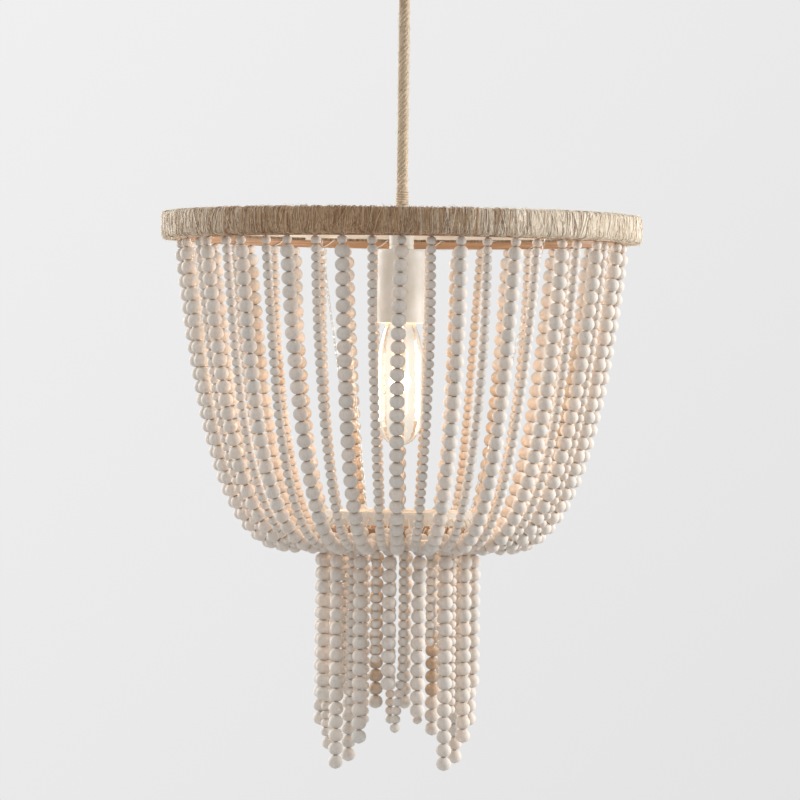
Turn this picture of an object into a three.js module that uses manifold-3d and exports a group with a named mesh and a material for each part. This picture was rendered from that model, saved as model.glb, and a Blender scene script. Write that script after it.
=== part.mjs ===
// A beaded chandelier that hangs from the ceiling on a rope-covered cord. A jute-wound ring carries
// strands of round wooden beads, which swing down as a bowl to a small lower hoop, and a ragged tassel
// hangs under that hoop. Millimetres, +Z up. The origin is the middle of the flat ceiling face, and the
// front of the lamp faces -Y. Angles round the lamp are counted from the front towards +X.
import * as THREE from "three";
import { mergeVertices } from "three/addons/utils/BufferGeometryUtils.js";
import Module from "manifold-3d";

const wasm = await Module();
wasm.setup();

// Clearances
const seatGap = 0.3;
const swingGap = 0.5;
const overrun = 1;
const mergeDistance = 0.0001;
const bisectionSteps = 200;
const widestScaleShare = 100;
const steepestTurn = 700;

// Facets of the round work
const ringFacets = 48;
const hoopFacets = 32;
const canopyFacets = 24;
const canopyCurveSteps = 2;
const lampFacets = 14;
const fittingFacets = 10;
const drillFacets = 8;
const stemFacets = 6;
const glassTipSteps = 3;
const strandSides = 3;
const chainSides = 4;
const filamentSides = 4;
const cordSides = 10;

// Ceiling fitting
const bracketLength = 104;
const bracketWidth = 20;
const bracketThickness = 2.5;
const boxScrewSpacing = 88.9;
const boxScrewHoleRadius = 2.4;
const canopyRadius = 62;
const canopyFlatRadius = 40;
const canopyHeight = 27;
const canopyRimHeight = 7;
const canopyWall = 1.4;
const studSpacing = 60;
const studRadius = 2;
const thumbNutRadius = 5;
const thumbNutHeight = 7;
const thumbNutTaper = 2.5;

// Cord and the flared mouths that let it lean at both ends
const cordRadius = 5.5;
const cordLength = 211;
const cordStep = 26;
const mouthDepth = 6;
const mouthFlare = THREE.MathUtils.degToRad(15);
const mouthPocket = 1.8;
const mouthWall = 1.6;
const wireHoleRadius = 3;
const gripPivotDepth = 4;
const gripShankRadius = 8;
const gripFlangeRadius = 12;
const gripFlangeHeight = 2;
const gripLockHeight = 4;

// Hub, spider and jute-wound ring
const hubRise = 7.6;
const hubCollarRadius = 12;
const hubFlangeRadius = 17;
const hubFlangeHeight = 3;
const hubShankRadius = 7;
const hubShankLength = 20;
const ringOuterRadius = 228.6;
const ringThickness = 14.6;
const ringHeight = 27;
const ringCorner = 4;
const armInset = 4.4;
const armHeight = 6;
const armWidth = 8;
const armCount = 3;
const armFirstAngle = -33.75;
const bossRadius = 20;

// Bead rail inside the ring, under its own band
const railInset = 7;
const railThickness = 3;
const railHeight = 7;
const railGap = 2.2;
const railBandThickness = 2;
const lugWidth = 8;

// Lamp holder
const neckRadius = 11.6;
const neckLength = 23;
const nippleRadius = 4.7;
const nippleLength = 10;
const housingRadius = 22.3;
const housingHeight = 69.4;
const housingWall = 1.2;
const holderInset = 4;
const holderBoreDepth = 30;

// Bulb
const capRadius = 13;
const capWall = 0.9;
const capHeight = 25;
const capTaper = 2;
const capShoulderRadius = 9;
const buttonRadius = 5;
const buttonHeight = 2;
const capMouthInset = 5;
const glassWall = 1;
const glassNeckLength = 16;
const glassShoulderRadius = 15;
const glassShoulderDrop = 8;
const glassRadius = 21.3;
const glassSpreadDrop = 27;
const glassStraightLength = 62;
const glassTipDrop = 24.6;
const stemFlareHeight = 2;
const stemFlareDrop = 23;
const stemRadius = 2.4;
const stemRodRadius = 0.9;
const stemRodLength = 112;
const filamentCount = 3;
const filamentReach = 8;
const filamentRadius = 1.3;
const filamentArmWidth = 1.8;
const filamentLength = 62;
const filamentEndGap = 4;

// Beads, strands and thread
const beadRadius = 7;
const beadPitch = 12.6;
const beadNeckRadius = 2.4;
const smallBeadRadius = 4.7;
const smallBeadPitch = 8.1;
const threadRadius = 0.6;
const bowlPairs = 24;
const bowlDepth = 287.4;
const bowlLowReach = 37.7;
const bowlEndReach = 10.7;
const strandEndRadius = 2;
const smallStrandSteps = 5;

// Lower hoop and its tassel
const hoopRadius = 69.3;
const hoopRise = 33;
const bandThickness = 2;
const bandHeight = 13;
const bandGap = 3;
const hoopRailThickness = 3;
const hoopRailHeight = 8.2;
const hoopLugCount = 4;
const hoopLugWidth = 4;
const tasselPairs = 16;
const tasselTurn = 5;
const tasselReach = 3.4;
const tasselStart = 4.2;
const tasselBeadCounts = [13, 17, 15, 11, 14, 17, 15, 13, 13, 17, 16, 14, 12, 17, 15, 11];
const tasselSmallBeadCounts = [12, 20, 22, 18, 20, 17, 22, 22, 22, 18, 20, 23, 22, 20, 14, 22];

// Chains that carry the lower hoop
const chainRadius = 1.3;
const chainTopRadius = 139;

// Levels, counted down from the ceiling
const canopyBottom = -canopyHeight;
const cordTop = canopyBottom - gripPivotDepth;
const gripBottom = cordTop - mouthDepth;
const cordBottom = cordTop - cordLength;
const hubTop = cordBottom + mouthDepth;
const ringTop = hubTop - hubRise;
const ringBottom = ringTop - ringHeight;
const armTop = ringTop - armInset;
const armBottom = armTop - armHeight;
const railTop = ringBottom + railHeight;
const railBandTop = armBottom - seatGap;
const railBandBottom = railTop + railGap;
const hubFlangeBottom = armTop + seatGap;
const hubShankBottom = hubFlangeBottom - hubShankLength;
const neckTop = armBottom - seatGap;
const neckBottom = neckTop - neckLength;
const housingTop = neckBottom - seatGap;
const housingBottom = housingTop - housingHeight;
const holderTop = housingTop - housingWall - seatGap;
const holderBottom = housingBottom + holderInset;
const capMouth = housingBottom + capMouthInset;
const capTop = capMouth + capHeight;
const glassTop = capMouth + glassNeckLength;
const bowlLow = ringBottom - bowlDepth;
const bandTop = bowlLow + hoopRise;
const bandBottom = bandTop - bandHeight;
const hoopRailTop = bandBottom - bandGap;
const hoopRailBottom = hoopRailTop - hoopRailHeight;

// Radii that follow from the sizes above
const ringInnerRadius = ringOuterRadius - ringThickness;
const railRadius = ringInnerRadius - railInset;
const railReach = railThickness / 2 + seatGap + threadRadius;
const bowlLowRadius = hoopRadius + bowlLowReach;
const bowlEndRadius = hoopRadius + bowlEndReach;
const mouthRadius = cordRadius + seatGap;
const mouthSpread = mouthDepth * Math.tan(mouthFlare);

const wood = { color: "#d9cdbd", roughness: 0.75, metalness: 0 };
const jute = { color: "#a98a64", roughness: 0.95, metalness: 0 };
const brownRail = { color: "#a97950", roughness: 0.6, metalness: 0 };
const creamMetal = { color: "#e9dfcd", roughness: 0.5, metalness: 0 };
const brassCap = { color: "#c9b27a", roughness: 0.35, metalness: 1 };
const glass = { color: "#fff3dd", roughness: 0.05, metalness: 0, transparent: true, opacity: 0.35 };
const glowing = { color: "#ffd9a0", roughness: 0.4, metalness: 0 };
const paleSteel = { color: "#d8d4cc", roughness: 0.4, metalness: 1 };

const chandelier = new THREE.Group();

// Meshes, solids and cuts

function addPart(name, geometry, look) {
  const material = new THREE.MeshStandardMaterial({ ...look, flatShading: true });
  const mesh = new THREE.Mesh(geometry, material);
  mesh.name = name;
  chandelier.add(mesh);
  return mesh;
}

function signedVolume(geometry) {
  const a = new THREE.Vector3();
  const b = new THREE.Vector3();
  const c = new THREE.Vector3();
  const corners = geometry.index.array;
  let volume = 0;
  for (let i = 0; i < corners.length; i += 3) {
    a.fromBufferAttribute(geometry.attributes.position, corners[i]);
    b.fromBufferAttribute(geometry.attributes.position, corners[i + 1]);
    c.fromBufferAttribute(geometry.attributes.position, corners[i + 2]);
    volume += a.dot(b.cross(c)) / 6;
  }
  return volume;
}

// Merges the vertices, drops the slivers at a lathe's axis and turns the faces out.
function closedSolid(source) {
  const bare = source.clone();
  bare.deleteAttribute("normal");
  bare.deleteAttribute("uv");
  const merged = mergeVertices(bare, mergeDistance);
  const kept = [];
  for (let i = 0; i < merged.index.count; i += 3) {
    const [a, b, c] = merged.index.array.slice(i, i + 3);
    if (a !== b && b !== c && c !== a) {
      kept.push(a, b, c);
    }
  }
  merged.setIndex(kept);
  if (signedVolume(merged) < 0) {
    for (let i = 0; i < kept.length; i += 3) {
      [kept[i], kept[i + 1]] = [kept[i + 1], kept[i]];
    }
    merged.setIndex(kept);
  }
  merged.computeVertexNormals();
  return merged;
}

function toManifold(geometry) {
  const vertProperties = new Float32Array(geometry.attributes.position.array);
  const triVerts = new Uint32Array(geometry.index.array);
  return new wasm.Manifold(new wasm.Mesh({ numProp: 3, vertProperties, triVerts }));
}

function fromManifold(solid) {
  const { vertProperties, triVerts } = solid.getMesh();
  const geometry = new THREE.BufferGeometry();
  geometry.setAttribute("position", new THREE.BufferAttribute(new Float32Array(vertProperties), 3));
  geometry.setIndex(Array.from(triVerts));
  geometry.computeVertexNormals();
  return geometry;
}

function joined(geometries) {
  return geometries.map(toManifold).reduce((whole, piece) => whole.add(piece));
}

function cutFrom(solid, cutters) {
  return cutters.map(toManifold).reduce((rest, cutter) => rest.subtract(cutter), solid);
}

// Turns a profile of [radius, height] points about the vertical axis.
function revolve(profile, facets) {
  const points = profile.map(([radius, height]) => new THREE.Vector2(radius, height));
  const lathe = new THREE.LatheGeometry(points, facets);
  lathe.rotateX(Math.PI / 2);
  return closedSolid(lathe);
}

// A profile that closes on itself, for a ring or a sleeve.
function revolveRing(profile, facets) {
  return revolve([...profile, profile[0]], facets);
}

function uprightRod(radius, top, bottom, x, y, facets) {
  const rod = new THREE.CylinderGeometry(radius, radius, top - bottom, facets);
  rod.rotateX(Math.PI / 2);
  rod.translate(x, y, (top + bottom) / 2);
  return closedSolid(rod);
}

// A block whose length lies along the direction at an angle round the lamp.
function radialBlock(innerRadius, outerRadius, width, top, bottom, degrees) {
  const block = new THREE.BoxGeometry(width, outerRadius - innerRadius, top - bottom);
  block.translate(0, -(innerRadius + outerRadius) / 2, (top + bottom) / 2);
  block.rotateZ(THREE.MathUtils.degToRad(degrees));
  return closedSolid(block);
}

// The point at a radius and a height, at an angle round the lamp from the front towards +X.
function placeAt(radius, height, degrees) {
  const angle = THREE.MathUtils.degToRad(degrees);
  return new THREE.Vector3(radius * Math.sin(angle), -radius * Math.cos(angle), height);
}

// One closed tube through stations, each with a point and a radius. The section's first corner
// faces outwards.
function tubeThrough(stations, sides, outwards) {
  const points = stations.map((station) => station.point);
  const positions = [];
  const corners = [];
  const normal = outwards.clone();
  stations.forEach((station, i) => {
    const before = points[Math.max(i - 1, 0)];
    const after = points[Math.min(i + 1, points.length - 1)];
    const tangent = station.point.clone().sub(before).normalize();
    tangent.add(after.clone().sub(station.point).normalize()).normalize();
    normal.addScaledVector(tangent, -tangent.dot(normal)).normalize();
    const side = tangent.clone().cross(normal);
    for (let j = 0; j < sides; j += 1) {
      const turn = (2 * Math.PI * j) / sides;
      const corner = station.point.clone();
      corner.addScaledVector(normal, station.radius * Math.cos(turn));
      corner.addScaledVector(side, station.radius * Math.sin(turn));
      positions.push(corner.x, corner.y, corner.z);
    }
  });
  for (let i = 0; i + 1 < stations.length; i += 1) {
    for (let j = 0; j < sides; j += 1) {
      const a = i * sides + j;
      const b = i * sides + ((j + 1) % sides);
      corners.push(a, b, b + sides, a, b + sides, a + sides);
    }
  }
  const last = (stations.length - 1) * sides;
  for (let j = 1; j + 1 < sides; j += 1) {
    corners.push(0, j + 1, j, last, last + j, last + j + 1);
  }
  const geometry = new THREE.BufferGeometry();
  geometry.setAttribute("position", new THREE.Float32BufferAttribute(positions, 3));
  geometry.setIndex(corners);
  return closedSolid(geometry);
}

// Ceiling fitting

function makeBracket() {
  const bar = new THREE.BoxGeometry(bracketLength, bracketWidth, bracketThickness);
  bar.translate(0, 0, -bracketThickness / 2);
  const holes = [];
  for (const side of [-1, 1]) {
    for (const [spacing, radius] of [
      [studSpacing, studRadius + seatGap],
      [boxScrewSpacing, boxScrewHoleRadius],
    ]) {
      const x = (side * spacing) / 2;
      holes.push(uprightRod(radius, overrun, -bracketThickness - overrun, x, 0, drillFacets));
    }
  }
  return fromManifold(cutFrom(toManifold(closedSolid(bar)), holes));
}

function makeCanopy() {
  const shoulder = canopyHeight - canopyRimHeight;
  const profile = [];
  for (let i = 0; i <= canopyCurveSteps; i += 1) {
    const turn = (i / canopyCurveSteps) * (Math.PI / 2);
    const reach = (canopyRadius - canopyFlatRadius) * Math.cos(turn);
    profile.push([canopyFlatRadius + reach, -canopyRimHeight - shoulder * Math.sin(turn)]);
  }
  const innerRise = shoulder - canopyWall;
  const inner = [];
  for (let i = canopyCurveSteps; i >= 0; i -= 1) {
    const turn = (i / canopyCurveSteps) * (Math.PI / 2);
    const reach = (canopyRadius - canopyFlatRadius - canopyWall) * Math.cos(turn);
    inner.push([canopyFlatRadius + reach, -canopyRimHeight - innerRise * Math.sin(turn)]);
  }
  const shell = revolve(
    [
      [canopyRadius, 0],
      ...profile,
      [0, canopyBottom],
      [0, canopyBottom + canopyWall],
      ...inner,
      [canopyRadius - canopyWall, 0],
      [canopyRadius, 0],
    ],
    canopyFacets,
  );
  const drillTop = canopyBottom + canopyWall + overrun;
  const drillBottom = canopyBottom - overrun;
  const holes = [-1, 1].map((side) => {
    const x = (side * studSpacing) / 2;
    return uprightRod(studRadius + seatGap, drillTop, drillBottom, x, 0, drillFacets);
  });
  holes.push(uprightRod(gripShankRadius + seatGap, drillTop, drillBottom, 0, 0, fittingFacets));
  return fromManifold(cutFrom(toManifold(shell), holes));
}

function makeThumbNut(side) {
  const nutTop = canopyBottom - seatGap;
  const nutBottom = nutTop - thumbNutHeight;
  const nut = revolve(
    [
      [0, -seatGap],
      [studRadius, -seatGap],
      [studRadius, nutTop],
      [thumbNutRadius, nutTop],
      [thumbNutRadius, nutBottom + thumbNutTaper],
      [thumbNutRadius - thumbNutTaper, nutBottom],
      [0, nutBottom],
    ],
    drillFacets,
  );
  nut.translate((side * studSpacing) / 2, 0, 0);
  return nut;
}

function makeCordGrip() {
  const flangeTop = canopyBottom - seatGap;
  const lockBottom = canopyBottom + canopyWall + seatGap;
  const lockTop = lockBottom + gripLockHeight;
  return revolveRing(
    [
      [mouthRadius + mouthSpread, gripBottom],
      [mouthRadius, cordTop],
      [mouthRadius, cordTop + mouthPocket],
      [wireHoleRadius, cordTop + mouthPocket],
      [wireHoleRadius, lockTop],
      [gripFlangeRadius, lockTop],
      [gripFlangeRadius, lockBottom],
      [gripShankRadius, lockBottom],
      [gripShankRadius, flangeTop],
      [gripFlangeRadius, flangeTop],
      [gripFlangeRadius, flangeTop - gripFlangeHeight],
      [mouthRadius + mouthSpread + mouthWall, gripBottom],
    ],
    fittingFacets,
  );
}

function makeCord() {
  const section = new THREE.Shape();
  for (let i = 0; i < cordSides; i += 1) {
    const turn = (2 * Math.PI * i) / cordSides;
    const x = cordRadius * Math.cos(turn);
    const y = cordRadius * Math.sin(turn);
    if (i === 0) {
      section.moveTo(x, y);
    } else {
      section.lineTo(x, y);
    }
  }
  section.closePath();
  const route = new THREE.LineCurve3(
    new THREE.Vector3(0, 0, cordTop),
    new THREE.Vector3(0, 0, cordBottom),
  );
  const steps = Math.ceil(cordLength / cordStep);
  const tube = new THREE.ExtrudeGeometry(section, { steps, extrudePath: route, bevelEnabled: false });
  return closedSolid(tube);
}

// Hub, spider, ring and rail

function makeHub() {
  const flangeTop = hubFlangeBottom + hubFlangeHeight;
  return revolveRing(
    [
      [mouthRadius + mouthSpread, hubTop],
      [mouthRadius, cordBottom],
      [mouthRadius, cordBottom - mouthPocket],
      [wireHoleRadius, cordBottom - mouthPocket],
      [wireHoleRadius, hubShankBottom],
      [hubShankRadius, hubShankBottom],
      [hubShankRadius, hubFlangeBottom],
      [hubFlangeRadius, hubFlangeBottom],
      [hubFlangeRadius, flangeTop],
      [hubCollarRadius, flangeTop],
      [hubCollarRadius, hubTop - mouthWall],
      [mouthRadius + mouthSpread + mouthWall, hubTop],
    ],
    fittingFacets,
  );
}

function armAngles() {
  return Array.from({ length: armCount }, (_, i) => armFirstAngle + (360 * i) / armCount);
}

function makeSpider() {
  const reach = ringInnerRadius * Math.cos(Math.PI / ringFacets) - seatGap;
  const boss = uprightRod(bossRadius, armTop, armBottom, 0, 0, lampFacets);
  const arms = armAngles().map((angle) => radialBlock(0, reach, armWidth, armTop, armBottom, angle));
  const bore = uprightRod(
    hubShankRadius + seatGap, armTop + overrun, armBottom - overrun, 0, 0, fittingFacets,
  );
  return fromManifold(cutFrom(joined([boss, ...arms]), [bore]));
}

function makeTopRing() {
  return revolveRing(
    [
      [ringInnerRadius, ringBottom],
      [ringOuterRadius - ringCorner, ringBottom],
      [ringOuterRadius, ringBottom + ringCorner],
      [ringOuterRadius, ringTop - ringCorner],
      [ringOuterRadius - ringCorner, ringTop],
      [ringInnerRadius, ringTop],
    ],
    ringFacets,
  );
}

function hoopRing(radius, thickness, top, bottom, facets) {
  return revolveRing(
    [
      [radius - thickness / 2, bottom],
      [radius + thickness / 2, bottom],
      [radius + thickness / 2, top],
      [radius - thickness / 2, top],
    ],
    facets,
  );
}

// A band under the arms of the spider carries the rail by a lug below each arm. The threads hook through the
// slot between the two.
function makeBeadRail() {
  const band = hoopRing(railRadius, railBandThickness, railBandTop, railBandBottom, ringFacets);
  const rail = hoopRing(railRadius, railThickness, railTop, ringBottom, ringFacets);
  const inner = railRadius * Math.cos(Math.PI / ringFacets) - railBandThickness / 2;
  const lugs = armAngles().map((angle) =>
    radialBlock(
      inner, inner + railBandThickness, lugWidth, railBandBottom + overrun, railTop - overrun, angle,
    ),
  );
  return fromManifold(joined([band, rail, ...lugs]));
}

// Lamp holder

function makeSocketNeck() {
  const shankClearance = hubShankRadius + seatGap;
  return revolveRing(
    [
      [shankClearance, neckTop],
      [shankClearance, hubShankBottom - seatGap],
      [wireHoleRadius, hubShankBottom - seatGap],
      [wireHoleRadius, neckBottom - nippleLength],
      [nippleRadius, neckBottom - nippleLength],
      [nippleRadius, neckBottom],
      [neckRadius, neckBottom],
      [neckRadius, neckTop],
    ],
    fittingFacets,
  );
}

function makeSocketHousing() {
  const hole = nippleRadius + seatGap;
  const inner = housingRadius - housingWall;
  return revolveRing(
    [
      [hole, housingTop],
      [hole, housingTop - housingWall],
      [inner, housingTop - housingWall],
      [inner, housingBottom],
      [housingRadius, housingBottom],
      [housingRadius, housingTop],
    ],
    lampFacets,
  );
}

function makeLampHolder() {
  const hole = nippleRadius + seatGap;
  const outer = (housingRadius - housingWall) * Math.cos(Math.PI / lampFacets) - seatGap;
  const bore = (capRadius + seatGap) / Math.cos(Math.PI / lampFacets);
  const boreTop = holderBottom + holderBoreDepth;
  return revolveRing(
    [
      [hole, holderTop],
      [hole, boreTop],
      [bore, boreTop],
      [bore, holderBottom],
      [outer, holderBottom],
      [outer, holderTop],
    ],
    lampFacets,
  );
}

// Bulb

function makeBulbCap() {
  const shoulder = capTop - capTaper;
  return revolve(
    [
      [0, capTop + buttonHeight],
      [buttonRadius, capTop + buttonHeight],
      [buttonRadius, capTop],
      [capShoulderRadius, capTop],
      [capRadius, shoulder],
      [capRadius, capMouth],
      [capRadius - capWall, capMouth],
      [capRadius - capWall, shoulder - capWall],
      [0, shoulder - capWall],
    ],
    lampFacets,
  );
}

function glassOutline(inset) {
  const neck = (capRadius - capWall) * Math.cos(Math.PI / lampFacets) - seatGap - inset;
  const shoulder = capMouth - glassShoulderDrop;
  const spread = shoulder - glassSpreadDrop;
  const tipStart = spread - glassStraightLength;
  const radius = glassRadius - inset;
  const drop = glassTipDrop - inset;
  const outline = [
    [neck, glassTop],
    [neck, capMouth],
    [glassShoulderRadius - inset, shoulder],
    [radius, spread],
  ];
  for (let i = 0; i <= glassTipSteps; i += 1) {
    const turn = (i / glassTipSteps) * (Math.PI / 2);
    const reach = i === glassTipSteps ? 0 : radius * Math.cos(turn);
    outline.push([reach, tipStart - drop * Math.sin(turn)]);
  }
  return outline;
}

function makeBulbGlass() {
  return revolve([...glassOutline(0).reverse(), ...glassOutline(glassWall)], lampFacets);
}

function makeFilament() {
  const neck = glassOutline(glassWall)[0][0] * Math.cos(Math.PI / lampFacets) - seatGap;
  const flareBottom = glassTop - stemFlareHeight;
  const stemBottom = flareBottom - stemFlareDrop;
  const rodBottom = glassTop - stemRodLength;
  const filamentBottom = rodBottom + filamentEndGap;
  const filamentTop = filamentBottom + filamentLength;
  const stem = revolve(
    [
      [0, glassTop],
      [neck, glassTop],
      [neck, flareBottom],
      [stemRadius, stemBottom],
      [stemRadius, filamentTop],
      [stemRodRadius, filamentTop],
      [stemRodRadius, rodBottom],
      [0, rodBottom],
    ],
    stemFacets,
  );
  const pieces = [stem];
  for (let i = 0; i < filamentCount; i += 1) {
    const angle = (360 * i) / filamentCount;
    const middle = placeAt(filamentReach, 0, angle);
    for (const level of [filamentTop, filamentBottom]) {
      const top = level + filamentArmWidth / 2;
      const bottom = level - filamentArmWidth / 2;
      pieces.push(radialBlock(0, filamentReach, filamentArmWidth, top, bottom, angle));
    }
    pieces.push(
      uprightRod(filamentRadius, filamentTop, filamentBottom, middle.x, middle.y, filamentSides),
    );
  }
  return fromManifold(joined(pieces));
}

// Strands

// The scale of the hanging curve that climbs by a rise over a reach from its lowest point.
function hangingScale(reach, rise) {
  let tight = reach / widestScaleShare;
  let wide = reach * widestScaleShare;
  for (let i = 0; i < bisectionSteps; i += 1) {
    const scale = Math.sqrt(tight * wide);
    if (scale * (Math.cosh(Math.min(reach / scale, steepestTurn)) - 1) > rise) {
      tight = scale;
    } else {
      wide = scale;
    }
  }
  return Math.sqrt(tight * wide);
}

// A strand of the bowl: a hanging curve from the rail, whose lowest point lies near the hoop.
function bowlCurve(topRadius) {
  const scale = hangingScale(topRadius - bowlLowRadius, ringBottom - bowlLow);
  return {
    topLength: scale * Math.sinh((topRadius - bowlLowRadius) / scale),
    endLength: scale * Math.sinh((bowlEndRadius - bowlLowRadius) / scale),
    scale,
    pointAt(length) {
      const turn = Math.asinh(length / scale);
      return [bowlLowRadius + scale * turn, bowlLow + scale * (Math.cosh(turn) - 1)];
    },
  };
}

// Stations of beads that follow each other: a neck, then a middle and a neck for each bead.
function beadStations(count, stationAt, start, pitch, radius, neck) {
  const stations = [stationAt(start, neck)];
  for (let i = 0; i < count; i += 1) {
    stations.push(stationAt(start + (i + 1 / 2) * pitch, radius));
    stations.push(stationAt(start + (i + 1) * pitch, neck));
  }
  return stations;
}

// A large and a small strand on one thread, which hooks over the rail of the ring.
function makeBowlPair() {
  const large = bowlCurve(railRadius + railReach);
  const small = bowlCurve(railRadius - railReach);
  const smallAngle = 360 / (2 * bowlPairs);
  const bandEdge = hoopRadius + bandThickness / 2 + seatGap + threadRadius;
  const bandMiddle = (bandTop + bandBottom) / 2;
  const hook = railTop + seatGap + threadRadius;
  const on = (curve, angle) => (length, radius) => {
    const [reach, height] = curve.pointAt(length);
    return { point: placeAt(reach, height, angle), radius };
  };
  const threadAt = (radius, height, angle) => ({
    point: placeAt(radius, height, angle),
    radius: threadRadius,
  });
  const topLength = large.topLength - smallBeadPitch;
  const count = Math.floor((topLength - large.endLength) / beadPitch);
  const start = topLength - count * beadPitch;
  const stations = [
    threadAt(bandEdge, bandMiddle, 0),
    ...beadStations(count, on(large, 0), start, beadPitch, beadRadius, beadNeckRadius),
    on(large, 0)(large.topLength - smallBeadPitch / 2, smallBeadRadius),
    threadAt(railRadius + railReach, ringBottom, 0),
    threadAt(railRadius + railReach, hook, 0),
    threadAt(railRadius - railReach, hook, smallAngle),
    threadAt(railRadius - railReach, ringBottom, smallAngle),
  ];
  const steepest = Math.atan(small.topLength / small.scale);
  const flattest = Math.atan(small.endLength / small.scale);
  stations.push(on(small, smallAngle)(small.topLength - smallBeadRadius, smallBeadRadius));
  for (let i = 1; i <= smallStrandSteps; i += 1) {
    const slope = steepest + ((flattest - steepest) * i) / smallStrandSteps;
    stations.push(on(small, smallAngle)(small.scale * Math.tan(slope), smallBeadRadius));
  }
  stations.push(threadAt(bandEdge, bandMiddle, smallAngle));
  return tubeThrough(stations, strandSides, placeAt(1, 0, 0));
}

// A large and a small strand of the tassel, hooked over the rail of the lower hoop.
function makeTasselPair(beads, smallBeads) {
  const smallAngle = 360 / (2 * tasselPairs);
  const outer = hoopRadius + tasselReach;
  const inner = hoopRadius - tasselReach;
  const start = hoopRailBottom - tasselStart;
  const hook = hoopRailTop + swingGap + threadRadius;
  const hanging = (radius, angle) => (drop, width) => ({
    point: placeAt(radius, start - drop, angle),
    radius: width,
  });
  const largeStrand = beadStations(
    beads, hanging(outer, 0), 0, beadPitch, beadRadius, beadNeckRadius,
  ).reverse();
  const smallLength = smallBeads * smallBeadPitch;
  const stations = [
    ...largeStrand,
    { point: placeAt(outer, hoopRailBottom, 0), radius: threadRadius },
    { point: placeAt(outer, hook, 0), radius: threadRadius },
    { point: placeAt(inner, hook, smallAngle), radius: threadRadius },
    { point: placeAt(inner, hoopRailBottom, smallAngle), radius: threadRadius },
    hanging(inner, smallAngle)(smallBeadRadius, smallBeadRadius),
    hanging(inner, smallAngle)(smallLength - smallBeadRadius, smallBeadRadius),
    hanging(inner, smallAngle)(smallLength, strandEndRadius),
  ];
  return tubeThrough(stations, strandSides, placeAt(1, 0, 0));
}

// Lower hoop and its chains

function makeLowerHoop() {
  const band = hoopRing(hoopRadius, bandThickness, bandTop, bandBottom, hoopFacets);
  const rail = hoopRing(hoopRadius, hoopRailThickness, hoopRailTop, hoopRailBottom, hoopFacets);
  const inner = hoopRadius * Math.cos(Math.PI / hoopFacets) - bandThickness / 2;
  const outer = inner + bandThickness;
  const freeAngle = tasselTurn + 360 / (4 * tasselPairs);
  const lugs = Array.from({ length: hoopLugCount }, (_, i) => {
    const angle = freeAngle + (360 * i) / hoopLugCount;
    return radialBlock(
      inner, outer, hoopLugWidth, bandBottom + overrun, hoopRailTop - overrun, angle,
    );
  });
  return fromManifold(joined([band, rail, ...lugs]));
}

function makeChain(angle) {
  const fall = armBottom - bandTop;
  const lean = (chainTopRadius - hoopRadius) / Math.hypot(fall, chainTopRadius - hoopRadius);
  const endGap = seatGap + chainRadius * Math.abs(lean);
  const stations = [
    { point: placeAt(chainTopRadius, armBottom - endGap, angle), radius: chainRadius },
    { point: placeAt(hoopRadius, bandTop + endGap, angle), radius: chainRadius },
  ];
  return tubeThrough(stations, chainSides, placeAt(1, 0, angle));
}

const twoDigits = (number) => String(number).padStart(2, "0");

addPart("ceiling_bracket", makeBracket(), paleSteel);
addPart("canopy", makeCanopy(), creamMetal);
addPart("canopy_nut_left", makeThumbNut(-1), brassCap);
addPart("canopy_nut_right", makeThumbNut(1), brassCap);
addPart("cord_grip", makeCordGrip(), creamMetal);
addPart("pendant_cord", makeCord(), jute);
addPart("hub", makeHub(), creamMetal);
addPart("spider", makeSpider(), creamMetal);
addPart("top_ring", makeTopRing(), jute);
addPart("bead_rail", makeBeadRail(), brownRail);
addPart("socket_neck", makeSocketNeck(), creamMetal);
addPart("socket_housing", makeSocketHousing(), creamMetal);
addPart("lamp_holder", makeLampHolder(), creamMetal);
addPart("bulb_cap", makeBulbCap(), brassCap);
addPart("bulb_glass", makeBulbGlass(), glass);
addPart("bulb_filament", makeFilament(), glowing);
armAngles().forEach((angle, i) => addPart(`hoop_chain_${i + 1}`, makeChain(angle), paleSteel));
addPart("lower_hoop", makeLowerHoop(), creamMetal);

const bowlPair = makeBowlPair();
for (let i = 0; i < bowlPairs; i += 1) {
  const strands = addPart(`bowl_pair_${twoDigits(i + 1)}`, bowlPair, wood);
  strands.rotation.z = (2 * Math.PI * i) / bowlPairs;
}
for (let i = 0; i < tasselPairs; i += 1) {
  const pair = makeTasselPair(tasselBeadCounts[i], tasselSmallBeadCounts[i]);
  const strands = addPart(`tassel_pair_${twoDigits(i + 1)}`, pair, wood);
  strands.rotation.z = THREE.MathUtils.degToRad(tasselTurn + (360 * (i + 1 / 2)) / tasselPairs);
}

export default chandelier;
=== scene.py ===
"""Dresses the beaded chandelier: a jute-wound ring with draped strands of limewashed wooden beads.

Sizes in the classes are millimetres in the lamp's own frame: +Z up, the origin in the ceiling face, the front
towards -Y. Angles round the lamp are degrees from the front towards +X.
"""

import logging
import math
from collections.abc import Callable, Sequence
from dataclasses import dataclass
from enum import Enum
from typing import Any

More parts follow.
